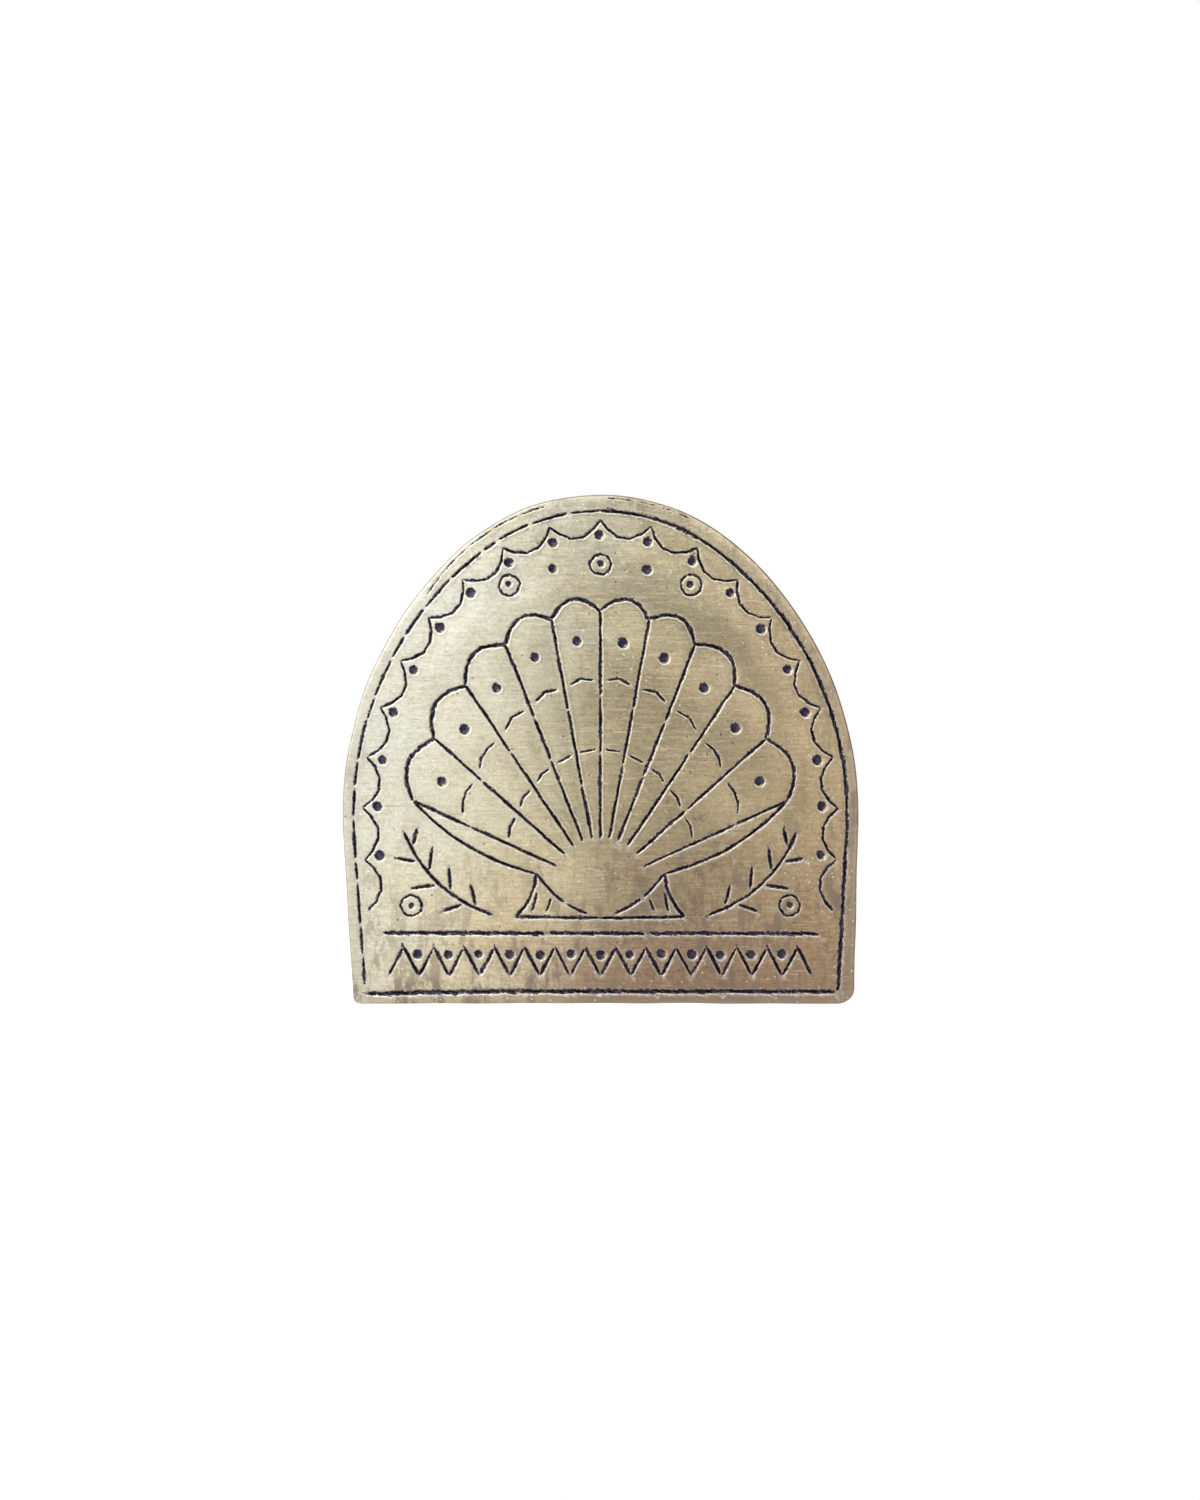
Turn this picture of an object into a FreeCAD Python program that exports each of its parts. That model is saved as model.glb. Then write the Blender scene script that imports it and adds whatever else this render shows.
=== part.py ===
import FreeCAD, Part
import math
import os
import re
import Sketcher

# An arch-shaped brass brooch with a turning safety catch on its back.
# Millimetres. The plate stands upright and faces -Y, +X is to its right and +Z is up.
# The origin is the middle of the pin wire, which runs along X behind the plate.

SIZES = {
    # plate: an arch of three arcs on two slightly leaning sides
    "plate_width": 50.0,
    "plate_height": 49.3,
    "plate_thickness": 1.0,
    "crown_radius": 20.2,
    "shoulder_radius": 34.5,
    "left_lean": 3.77,
    "right_lean": 1.41,
    "left_corner_radius": 0.7,
    "right_corner_radius": 1.65,
    "rim_softening": 0.22,
    # chased border line, a V section struck along the rim
    "border_crown_margin": 1.62,
    "border_side_margin": 1.12,
    "border_shoulder_radius": 32.0,
    "border_left_foot_margin": 1.2,
    "border_right_foot_margin": 1.6,
    "border_foot_margin": 1.2,
    "border_left_gap": 0.6,
    "border_foot_length": 45.5,
    "border_line_width": 0.4,
    "border_line_depth": 0.18,
    # where the fastening sits on the plate's back
    "pin_line_drop": 17.3,
    "pin_axis_height": 2.9,
    "fastening_inset": 9.5,
    # round patches and the solder seams round them
    "patch_radius": 3.0,
    "patch_thickness": 0.6,
    "patch_bevel": 0.12,
    "solder_width": 0.75,
    "solder_height": 0.52,
    "solder_hollow_radius": 1.8,
    "solder_clearance": 0.01,
    # hinge bracket: a folded strip with two ears
    "bracket_gap": 1.6,
    "bracket_strip": 0.6,
    "bracket_width": 3.0,
    "bracket_bend_radius": 0.5,
    "bracket_inner_bend_radius": 0.12,
    "ear_radius": 1.15,
    "ear_straight_height": 0.8,
    # rivet and the knuckle that turns on it
    "rivet_radius": 0.5,
    "rivet_head_radius": 0.85,
    "rivet_head_height": 0.38,
    "rivet_hole_clearance": 0.02,
    "knuckle_radius": 1.1,
    "knuckle_side_clearance": 0.05,
    "knuckle_running_clearance": 0.05,
    "heel_clearance": 0.15,
    "heel_toe": 0.3,
    "neck_radius": 0.62,
    "neck_start": 0.75,
    "neck_reach": 3.2,
    "neck_rounding": 0.15,
    # pin wire
    "wire_radius": 0.45,
    "socket_depth": 1.8,
    "socket_clearance": 0.02,
    "wire_overhang": 3.0,
    "point_length": 5.0,
    "point_radius": 0.06,
    # catch housing: a C-shaped ring with an inner track on a soldered foot
    "housing_radius": 2.1,
    "housing_length": 2.6,
    "housing_rounding": 0.18,
    "throat_radius": 0.9,
    "track_radius": 1.45,
    "track_length": 1.8,
    "mouth_start": 35.0,
    "mouth_end": 150.0,
    "foot_width": 3.0,
    "foot_neck_width": 2.1,
    "foot_sink": 0.3,
    # turning lock: a slotted ring with a thumb lever, running in the track
    "lock_running_clearance": 0.05,
    "lock_side_clearance": 0.05,
    "lock_bore_radius": 0.7,
    "lock_slot_width": 1.3,
    "lever_angle": 132.0,
    "lever_thickness": 0.6,
    "lever_root_radius": 1.05,
    "lever_reach": 3.3,
    "lever_rounding": 0.25,
    # how far a cutting shape runs past the faces that it opens
    "cut_overrun": 1.0,
}

document = FreeCAD.newDocument("engraved_brooch")
sheet = document.addObject("Spreadsheet::Sheet", "Sizes")


def fill_sheet():
    """Writes each size into the sheet, with its name beside it and as its alias."""
    for row, (name, value) in enumerate(SIZES.items(), start=1):
        sheet.set("A%d" % row, name)
        sheet.set("B%d" % row, str(value))
        sheet.setAlias("B%d" % row, name)
    document.recompute()


def bound(expression):
    """Returns the expression with each size's name pointed at the sheet."""
    names = "|".join(sorted(SIZES, key=len, reverse=True))
    return re.sub(r"\b(%s)\b" % names, r"Sizes.\1", expression)


def size(expression):
    """Works out an expression of named sizes."""
    return float(sheet.evalExpression(bound(expression)))


def vector(across, up):
    return FreeCAD.Vector(across, up, 0)


# Bodies, sketches and features


def new_body(name, x="0", y="0", z="0"):
    """Adds a body whose own origin stands at the given place."""
    body = document.addObject("PartDesign::Body", name)
    body.Label = name
    for axis, expression in zip("xyz", (x, y, z)):
        body.setExpression("Placement.Base." + axis, bound(expression))
    return body


def new_sketch(body, name, plane, lift=None):
    """Adds a sketch on one of the body's origin planes, lifted off it if asked."""
    sketch = body.newObject("Sketcher::SketchObject", name)
    base = [feature for feature in body.Origin.OriginFeatures if feature.Role == plane][0]
    sketch.AttachmentSupport = [(base, "")]
    sketch.MapMode = "FlatFace"
    if lift:
        sketch.setExpression("AttachmentOffset.Base.z", bound(lift))
    return sketch


def drive(sketch, constraint, expression):
    """Adds a constraint with a datum and ties the datum to the sheet."""
    index = sketch.addConstraint(constraint)
    sketch.setExpression("Constraints[%d]" % index, bound(expression))


def pin_point(sketch, element, point, across, up):
    """Fixes one point of an element at a place given by two expressions."""
    places = (("DistanceX", across, -2), ("DistanceY", up, -1))
    if across == "0" and up == "0":
        sketch.addConstraint(Sketcher.Constraint("Coincident", element, point, -1, 1))
        return
    for kind, expression, axis in places:
        if expression == "0":
            sketch.addConstraint(Sketcher.Constraint("PointOnObject", element, point, axis))
        elif expression is not None:
            drive(sketch, Sketcher.Constraint(kind, -1, 1, element, point, size(expression)), expression)


def arc_between(start, end, radius):
    """Returns the shorter arc from start to end, counter-clockwise, about a centre on its left."""
    middle = (start + end) * 0.5
    chord = end - start
    height = math.sqrt(radius * radius - (chord.Length * 0.5) ** 2)
    centre = middle + vector(-chord.y, chord.x).normalize() * height
    first = math.atan2(start.y - centre.y, start.x - centre.x)
    last = math.atan2(end.y - centre.y, end.x - centre.x)
    return Part.ArcOfCircle(Part.Circle(centre, FreeCAD.Vector(0, 0, 1), radius), first, last)


def draw_outline(sketch, corners, arcs=None):
    """Draws a closed outline through corners. arcs gives the radius of each side that is
    an arc: counter-clockwise from its corner to the next, or the other way with a minus."""
    points = [vector(size(across), size(up)) for across, up in corners]
    arcs = arcs or {}
    sides = []
    for index, (across, up) in enumerate(corners):
        start, end = points[index], points[(index + 1) % len(points)]
        backwards = arcs.get(index, "").startswith("-")
        if index in arcs:
            radius = arcs[index].lstrip("-")
            first, last = (end, start) if backwards else (start, end)
            element = sketch.addGeometry(arc_between(first, last, size(radius)), False)
            drive(sketch, Sketcher.Constraint("Radius", element, size(radius)), radius)
        else:
            element = sketch.addGeometry(Part.LineSegment(start, end), False)
        first, last = (2, 1) if backwards else (1, 2)
        sides.append((element, first, last))
        pin_point(sketch, element, first, across, up)
    for before, after in zip(sides, sides[1:] + sides[:1]):
        sketch.addConstraint(Sketcher.Constraint("Coincident", before[0], before[2], after[0], after[1]))


def draw_circle(sketch, radius, across="0", up="0"):
    """Draws a circle of a given radius about a given centre."""
    circle = Part.Circle(vector(size(across), size(up)), FreeCAD.Vector(0, 0, 1), size(radius))
    element = sketch.addGeometry(circle, False)
    drive(sketch, Sketcher.Constraint("Radius", element, size(radius)), radius)
    pin_point(sketch, element, 3, across, up)


def add_pad(body, sketch, length, symmetric=False, backwards=False):
    pad = body.newObject("PartDesign::Pad", sketch.Name + "_pad")
    pad.Profile = sketch
    pad.SideType = "Symmetric" if symmetric else "One side"
    pad.Reversed = backwards
    pad.setExpression("Length", bound(length))
    document.recompute()
    return pad


def add_pocket(body, sketch, length):
    """Cuts a sketch through the body, as far on one side of its plane as on the other."""
    pocket = body.newObject("PartDesign::Pocket", sketch.Name + "_cut")
    pocket.Profile = sketch
    pocket.SideType = "Symmetric"
    pocket.setExpression("Length", bound(length))
    document.recompute()
    check_removed(pocket)
    return pocket


def add_turned(body, sketch, axis, cut=False):
    """Turns a sketch a whole turn about its own horizontal or vertical axis."""
    kind = "Groove" if cut else "Revolution"
    turned = body.newObject("PartDesign::" + kind, sketch.Name + ("_groove" if cut else "_turned"))
    turned.Profile = sketch
    turned.ReferenceAxis = (sketch, [axis])
    document.recompute()
    if cut:
        check_removed(turned)
    return turned


def add_softening(body, feature, radius, chosen):
    """Rounds the edges of a feature that the chosen test picks."""
    rounding = body.newObject("PartDesign::Fillet", feature.Name + "_softened")
    rounding.Base = (feature, picked_edges(feature, chosen))
    rounding.setExpression("Radius", bound(radius))
    document.recompute()
    return rounding


def add_bevel(body, feature, width, chosen):
    """Bevels the edges of a feature that the chosen test picks."""
    bevel = body.newObject("PartDesign::Chamfer", feature.Name + "_bevelled")
    bevel.Base = (feature, picked_edges(feature, chosen))
    bevel.setExpression("Size", bound(width))
    document.recompute()
    return bevel


def picked_edges(feature, chosen):
    return ["Edge%d" % (i + 1) for i, edge in enumerate(feature.Shape.Edges) if chosen(edge)]


def check_removed(cut):
    """Stops if a cut took nothing away."""
    if cut.Shape.Volume > cut.BaseFeature.Shape.Volume - 1e-6:
        raise RuntimeError(cut.Label + " cuts nothing")


# Plate

# how high the shoulder arcs' centres stand above the foot
SPRING_HEIGHT = (
    "(plate_height - crown_radius"
    " - sqrt((shoulder_radius - crown_radius)^2 - (shoulder_radius - plate_width / 2)^2))"
)


PLATE_ARCH = ("crown_radius", "shoulder_radius", "plate_width / 2")
BORDER_ARCH = (
    "crown_radius - border_crown_margin",
    "border_shoulder_radius",
    "plate_width / 2 - border_side_margin",
)


def side_place(lean, height, margin):
    """Returns how far out the leaning side is at a height, less a margin inside it."""
    slope = "(%s - (%s)) * tan(%s)" % (SPRING_HEIGHT, height, lean)
    return "(plate_width / 2 - shoulder_radius + (shoulder_radius - %s) / cos(%s) - %s)" % (margin, lean, slope)


def arch_points(side, arch, corner, corner_radius):
    """Returns the centre of one shoulder arc and the points where that side's pieces meet:
    crown with shoulder, shoulder with side line, and side line with the corner's circle."""
    crown = vector(0, size("plate_height - crown_radius"))
    crown_radius, shoulder_radius, half_width = [size(expression) for expression in arch]
    reach = shoulder_radius - crown_radius
    inwards = shoulder_radius - half_width
    shoulder = vector(-inwards, crown.y - math.sqrt(reach * reach - inwards * inwards))
    top = crown + (crown - shoulder).normalize() * crown_radius
    reach_down = vector(abs(corner.x), corner.y) - shoulder
    turn = math.acos((shoulder_radius - corner_radius) / reach_down.Length)
    angle = math.atan2(reach_down.y, reach_down.x) + turn
    outward = vector(math.cos(angle), math.sin(angle))
    high = shoulder + outward * shoulder_radius
    low = vector(abs(corner.x), corner.y) + outward * corner_radius
    return [vector(point.x * side, point.y) for point in (shoulder, top, high, low)]


def arc_at(centre, start, end):
    """Returns the arc from start to end, counter-clockwise about the centre."""
    first = math.atan2(start.y - centre.y, start.x - centre.x)
    last = math.atan2(end.y - centre.y, end.x - centre.x)
    circle = Part.Circle(centre, FreeCAD.Vector(0, 0, 1), (start - centre).Length)
    return Part.ArcOfCircle(circle, first, last)


def draw_arch(sketch, arch, right_corner, right_radius, left_corner, left_radius):
    """Draws the right side line, the three arcs and the left side line, in that order. arch
    gives the crown's radius, the shoulders' radius and half the width."""
    right = arch_points(1, arch, right_corner, right_radius)
    left = arch_points(-1, arch, left_corner, left_radius)
    crown = vector(0, size("plate_height - crown_radius"))
    pieces = [
        Part.LineSegment(right[3], right[2]),
        arc_at(right[0], right[2], right[1]),
        arc_at(crown, right[1], left[1]),
        arc_at(left[0], left[1], left[2]),
        Part.LineSegment(left[2], left[3]),
    ]
    elements = [sketch.addGeometry(piece, False) for piece in pieces]
    for first, second in zip(elements, elements[1:]):
        sketch.addConstraint(Sketcher.Constraint("Tangent", first, 2, second, 1))
    crown_radius, shoulder_radius, half_width = arch
    for index, radius in {1: shoulder_radius, 2: crown_radius, 3: shoulder_radius}.items():
        drive(sketch, Sketcher.Constraint("Radius", elements[index], size(radius)), radius)
    pin_point(sketch, elements[2], 3, "0", "plate_height - crown_radius")
    pin_point(sketch, elements[1], 3, "%s - %s" % (half_width, shoulder_radius), None)
    pin_point(sketch, elements[3], 3, "%s - (%s)" % (shoulder_radius, half_width), None)
    return elements


def draw_plate_outline(sketch):
    """Draws the arch with its foot line and two small rounded corners."""
    right_across = side_place("right_lean", "right_corner_radius", "right_corner_radius")
    left_across = "-" + side_place("left_lean", "left_corner_radius", "left_corner_radius")
    corners = {
        "right": (right_across, "right_corner_radius"),
        "left": (left_across, "left_corner_radius"),
    }
    centres = {side: vector(size(across), size(up)) for side, (across, up) in corners.items()}
    right_radius, left_radius = size("right_corner_radius"), size("left_corner_radius")
    arch = draw_arch(sketch, PLATE_ARCH, centres["right"], right_radius, centres["left"], left_radius)
    right_end = sketch.getPoint(arch[0], 1)
    left_end = sketch.getPoint(arch[4], 2)
    left_foot, right_foot = vector(centres["left"].x, 0), vector(centres["right"].x, 0)
    left_arc = sketch.addGeometry(arc_at(centres["left"], left_end, left_foot), False)
    foot = sketch.addGeometry(Part.LineSegment(left_foot, right_foot), False)
    right_arc = sketch.addGeometry(arc_at(centres["right"], right_foot, right_end), False)
    for first, second in ((arch[4], left_arc), (left_arc, foot), (foot, right_arc), (right_arc, arch[0])):
        sketch.addConstraint(Sketcher.Constraint("Tangent", first, 2, second, 1))
    sketch.addConstraint(Sketcher.Constraint("Horizontal", foot))
    for side, element in (("left", left_arc), ("right", right_arc)):
        across, up = corners[side]
        pin_point(sketch, element, 3, across, up)
    drive(sketch, Sketcher.Constraint("Radius", left_arc, left_radius), "left_corner_radius")


def draw_border_section(sketch, across, up):
    """Draws the V of the border tool across a place on the front face. across and up
    each give five coordinates, from one outer corner round to the tip and back."""
    draw_outline(sketch, list(zip(across, up)))


def build_front_plate():
    """The arch of sheet brass. Its own origin is the middle of the foot, on the back face."""
    body = new_body("front_plate", y="-pin_axis_height", z="pin_line_drop - plate_height")
    outline = new_sketch(body, "plate_outline", "XZ_Plane")
    draw_plate_outline(outline)
    pad = add_pad(body, outline, "plate_thickness")
    thickness = size("plate_thickness")
    add_softening(body, pad, "rim_softening", lambda edge: edge.BoundBox.YLength < thickness * 0.5)

    # the border's arch, struck from the left foot round to the right foot
    left_up = "border_foot_margin + border_left_gap"
    left_across = "-" + side_place("left_lean", left_up, "border_left_foot_margin")
    right_across = side_place("right_lean", "border_foot_margin", "border_right_foot_margin")
    path = new_sketch(body, "border_path", "XZ_Plane", lift="plate_thickness")
    left_end = vector(size(left_across), size(left_up))
    right_end = vector(size(right_across), size("border_foot_margin"))
    arch = draw_arch(path, BORDER_ARCH, right_end, 0, left_end, 0)
    pin_point(path, arch[0], 1, right_across, "border_foot_margin")
    pin_point(path, arch[4], 2, left_across, left_up)
    section = new_sketch(body, "border_section", "XY_Plane", lift=left_up)
    face = "-plate_thickness"
    half = "border_line_width / 2"
    outside = face + " - cut_overrun"
    across = ["%s %s %s" % (left_across, sign, half) for sign in "-+"]
    draw_border_section(
        section,
        (across[0], across[1], across[1], left_across, across[0]),
        (outside, outside, face, face + " + border_line_depth", face),
    )
    document.recompute()
    arch_line = body.newObject("PartDesign::SubtractivePipe", "border_arch")
    arch_line.Profile = section
    arch_line.Spine = (path, ["Edge%d" % (i + 1) for i in range(len(arch))])
    document.recompute()
    check_removed(arch_line)

    # the border's foot line
    foot_section = new_sketch(body, "border_foot", "YZ_Plane")
    up = ["border_foot_margin %s %s" % (sign, half) for sign in "-+"]
    draw_border_section(
        foot_section,
        (outside, outside, face, face + " + border_line_depth", face),
        (up[0], up[1], up[1], "border_foot_margin", up[0]),
    )
    add_pocket(body, foot_section, "border_foot_length")
    return body


# Patches and solder seams

HALF_SPAN = "(plate_width / 2 - fastening_inset)"


def build_patch(name, side):
    """A round patch soldered to the plate. Its own origin is the middle of its glued face."""
    body = new_body(name, x=side + HALF_SPAN, y="-pin_axis_height")
    disc = new_sketch(body, name + "_disc", "XZ_Plane")
    draw_circle(disc, "patch_radius")
    pad = add_pad(body, disc, "patch_thickness", backwards=True)
    top = size("patch_thickness")
    add_bevel(body, pad, "patch_bevel", lambda edge: edge.BoundBox.YMin > top * 0.5)
    return body


def build_solder_seam(name, side):
    """The hollow seam of solder round a patch, on the plate's back face."""
    body = new_body(name, x=side + HALF_SPAN, y="-pin_axis_height")
    section = new_sketch(body, name + "_section", "XY_Plane")
    inner = "patch_radius + solder_clearance"
    corners = [(inner, "0"), (inner + " + solder_width", "0"), (inner, "solder_height")]
    draw_outline(section, corners, arcs={1: "-solder_hollow_radius"})
    add_turned(body, section, "V_Axis")
    return body


# Hinge


RIVET_HEIGHT = "pin_axis_height - patch_thickness"


def draw_ear_outline(sketch):
    """Draws a strip that narrows to a round top about the rivet, inside a frame. What lies
    between the frame and the ear is cut away."""
    rivet = vector(0, size(RIVET_HEIGHT))
    radius = size("ear_radius")
    half = size("bracket_width / 2")
    shoulder = vector(half, size("ear_straight_height"))
    reach = shoulder - rivet
    angle = math.atan2(reach.y, reach.x) + math.acos(radius / reach.Length)
    touch = rivet + vector(math.cos(angle), math.sin(angle)) * radius
    below = -size("cut_overrun")
    points = [vector(half, below), shoulder, touch]
    mirrored = [vector(-point.x, point.y) for point in points]
    pieces = [
        Part.LineSegment(points[0], points[1]),
        Part.LineSegment(points[1], points[2]),
        arc_at(rivet, points[2], mirrored[2]),
        Part.LineSegment(mirrored[2], mirrored[1]),
        Part.LineSegment(mirrored[1], mirrored[0]),
        Part.LineSegment(mirrored[0], points[0]),
    ]
    right, right_slope, top, left_slope, left, bottom = [sketch.addGeometry(piece, False) for piece in pieces]
    for first, second in ((right, right_slope), (left_slope, left), (left, bottom), (bottom, right)):
        sketch.addConstraint(Sketcher.Constraint("Coincident", first, 2, second, 1))
    for first, second in ((right_slope, top), (top, left_slope)):
        sketch.addConstraint(Sketcher.Constraint("Tangent", first, 2, second, 1))
    drive(sketch, Sketcher.Constraint("Radius", top, radius), "ear_radius")
    pin_point(sketch, top, 3, "0", RIVET_HEIGHT)
    pin_point(sketch, right, 1, "bracket_width / 2", "-cut_overrun")
    pin_point(sketch, right_slope, 1, "bracket_width / 2", "ear_straight_height")
    pin_point(sketch, left, 1, "-bracket_width / 2", "ear_straight_height")
    pin_point(sketch, bottom, 1, "-bracket_width / 2", "-cut_overrun")
    side = "bracket_width / 2 + cut_overrun"
    low, high = "-2 * cut_overrun", RIVET_HEIGHT + " + ear_radius + cut_overrun"
    draw_outline(sketch, [("-(%s)" % side, low), (side, low), (side, high), ("-(%s)" % side, high)])


def build_hinge_bracket():
    """The folded strip that carries the rivet. Its own origin is the middle of its foot."""
    body = new_body("hinge_bracket", x="-" + HALF_SPAN, y="patch_thickness - pin_axis_height")
    fold = new_sketch(body, "bracket_fold", "YZ_Plane")
    inner, outer = "bracket_gap / 2", "(bracket_gap / 2 + bracket_strip)"
    top, floor = RIVET_HEIGHT + " + ear_radius", "bracket_strip"
    corners = [
        ("0", "-" + outer), (top, "-" + outer), (top, "-" + inner), (floor, "-" + inner),
        (floor, inner), (top, inner), (top, outer), ("0", outer),
    ]
    draw_outline(fold, corners)
    pad = add_pad(body, fold, "bracket_width", symmetric=True)
    length = size("bracket_width")
    floor_level = size("bracket_strip")

    def outer_bend(edge):
        return edge.BoundBox.XLength > length * 0.9 and edge.BoundBox.YMax < floor_level * 0.5

    def inner_bend(edge):
        lies_on_floor = abs(edge.BoundBox.YMin - floor_level) < floor_level * 0.1
        return edge.BoundBox.XLength > length * 0.9 and lies_on_floor

    bent = add_softening(body, pad, "bracket_bend_radius", outer_bend)
    bent = add_softening(body, bent, "bracket_inner_bend_radius", inner_bend)
    ears = new_sketch(body, "bracket_ears", "XY_Plane")
    draw_ear_outline(ears)
    through = "bracket_gap + 2 * bracket_strip + 2 * cut_overrun"
    add_pocket(body, ears, through)
    hole = new_sketch(body, "bracket_hole", "XY_Plane")
    draw_circle(hole, "rivet_radius + rivet_hole_clearance", up=RIVET_HEIGHT)
    add_pocket(body, hole, through)
    return body


def build_hinge_rivet():
    """A rivet with two domed heads. Its own origin is its middle, and its axis is Z."""
    body = new_body("hinge_rivet", x="-" + HALF_SPAN)
    section = new_sketch(body, "rivet_section", "XZ_Plane")
    face = "(bracket_gap / 2 + bracket_strip)"
    tip = "(bracket_gap / 2 + bracket_strip + rivet_head_height)"
    dome = "(rivet_head_radius^2 + rivet_head_height^2) / (2 * rivet_head_height)"
    corners = [
        ("0", "-" + tip), ("rivet_head_radius", "-" + face), ("rivet_radius", "-" + face),
        ("rivet_radius", face), ("rivet_head_radius", face), ("0", tip),
    ]
    draw_outline(section, corners, arcs={0: dome, 4: dome})
    add_turned(body, section, "V_Axis")
    return body


def draw_knuckle_outline(sketch):
    """Draws the knuckle's disc with the heel behind it. The heel's flat end meets the
    bracket's floor when the pin stands square to the plate."""
    radius = size("knuckle_radius")
    heel = RIVET_HEIGHT + " - bracket_strip - heel_clearance"
    toe = vector(-size(heel), -size("heel_toe"))
    angle = math.atan2(toe.y, toe.x) + math.acos(radius / toe.Length)
    touch = vector(math.cos(angle), math.sin(angle)) * radius
    top, shoulder = vector(0, radius), vector(-size(heel), radius)
    disc = sketch.addGeometry(arc_at(vector(0, 0), touch, top), False)
    back = sketch.addGeometry(Part.LineSegment(top, shoulder), False)
    end = sketch.addGeometry(Part.LineSegment(shoulder, toe), False)
    under = sketch.addGeometry(Part.LineSegment(toe, touch), False)
    for first, second in ((back, end), (end, under)):
        sketch.addConstraint(Sketcher.Constraint("Coincident", first, 2, second, 1))
    for first, second in ((disc, back), (under, disc)):
        sketch.addConstraint(Sketcher.Constraint("Tangent", first, 2, second, 1))
    drive(sketch, Sketcher.Constraint("Radius", disc, radius), "knuckle_radius")
    pin_point(sketch, disc, 3, "0", "0")
    sketch.addConstraint(Sketcher.Constraint("Horizontal", back))
    pin_point(sketch, back, 2, "-(%s)" % heel, None)
    pin_point(sketch, end, 2, "-(%s)" % heel, "-heel_toe")


def build_pin_knuckle():
    """The disc, heel and neck that turn on the rivet. Its own origin is the rivet's axis."""
    body = new_body("pin_knuckle", x="-" + HALF_SPAN)
    disc = new_sketch(body, "knuckle_disc", "XY_Plane")
    draw_knuckle_outline(disc)
    add_pad(body, disc, "bracket_gap - 2 * knuckle_side_clearance", symmetric=True)
    neck = new_sketch(body, "knuckle_neck", "XY_Plane")
    rounded = "neck_radius - neck_rounding"
    corners = [
        ("neck_start", "0"), ("neck_start", "neck_radius"), ("neck_reach - neck_rounding", "neck_radius"),
        ("neck_reach", rounded), ("neck_reach", "0"),
    ]
    draw_outline(neck, corners, arcs={2: "-neck_rounding"})
    add_turned(body, neck, "H_Axis")
    socket = new_sketch(body, "knuckle_socket", "XY_Plane")
    bottom, mouth = "neck_reach - socket_depth", "neck_reach + cut_overrun"
    wall = "wire_radius + socket_clearance"
    draw_outline(socket, [(bottom, "0"), (mouth, "0"), (mouth, wall), (bottom, wall)])
    add_turned(body, socket, "H_Axis", cut=True)
    bore = new_sketch(body, "knuckle_bore", "XY_Plane")
    draw_circle(bore, "rivet_radius + knuckle_running_clearance")
    add_pocket(body, bore, "bracket_gap + 2 * cut_overrun")
    return body


def build_pin_wire():
    """The hard wire, from its root in the knuckle's socket to its ground point."""
    body = new_body("pin_wire", x="-" + HALF_SPAN)
    section = new_sketch(body, "wire_section", "XY_Plane")
    start = "neck_reach - socket_depth"
    tip = "2 * %s + wire_overhang" % HALF_SPAN
    taper = tip + " - point_length"
    drop = "(wire_radius - point_radius)"
    ogive = "(point_length^2 + %s^2) / (2 * %s)" % (drop, drop)
    corners = [
        (start, "0"), (tip, "0"), (tip, "point_radius"), (taper, "wire_radius"), (start, "wire_radius"),
    ]
    draw_outline(section, corners, arcs={2: ogive})
    add_turned(body, section, "H_Axis")
    return body


# Catch


def sector(start, end, reach):
    """Returns the corners of a wedge about the catch's axis, between two angles from +Z."""
    middle = "((%s + %s) / 2)" % (start, end)
    corners = [("0", "0")]
    for angle in (start, middle, end):
        corners.append(("(%s) * sin(%s)" % (reach, angle), "(%s) * cos(%s)" % (reach, angle)))
    return corners


def build_catch_housing():
    """A ring with an inner track, open on the side that the pin enters, on a soldered foot.
    Its own origin is the catch's axis."""
    body = new_body("catch_housing", x=HALF_SPAN)
    foot = new_sketch(body, "housing_foot", "YZ_Plane")
    floor = "patch_thickness - pin_axis_height"
    sunk = "foot_sink - housing_radius"
    corners = [
        (floor, "-foot_width / 2"), (sunk, "-foot_neck_width / 2"),
        (sunk, "foot_neck_width / 2"), (floor, "foot_width / 2"),
    ]
    draw_outline(foot, corners)
    add_pad(body, foot, "housing_length", symmetric=True)
    ring = new_sketch(body, "housing_ring", "XY_Plane")
    end, track = "housing_length / 2", "track_length / 2"
    rounded_end, rounded_rim = "(housing_length / 2 - housing_rounding)", "housing_radius - housing_rounding"
    corners = [
        ("-" + end, "throat_radius"), ("-" + track, "throat_radius"), ("-" + track, "track_radius"),
        (track, "track_radius"), (track, "throat_radius"), (end, "throat_radius"), (end, rounded_rim),
        (rounded_end, "housing_radius"), ("-" + rounded_end, "housing_radius"), ("-" + end, rounded_rim),
    ]
    draw_outline(ring, corners, arcs={6: "housing_rounding", 8: "housing_rounding"})
    add_turned(body, ring, "H_Axis")
    mouth = new_sketch(body, "housing_mouth", "YZ_Plane")
    draw_outline(mouth, sector("mouth_start", "mouth_end", "2 * (housing_radius + cut_overrun)"))
    add_pocket(body, mouth, "housing_length + 2 * cut_overrun")
    return body


def lever_corner(along, offset):
    """Returns a place along the lever and off its middle line, in the catch's Y and Z."""
    across = "(%s) * sin(lever_angle) + (%s) * cos(lever_angle)" % (along, offset)
    up = "(%s) * cos(lever_angle) - (%s) * sin(lever_angle)" % (along, offset)
    return across, up


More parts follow.
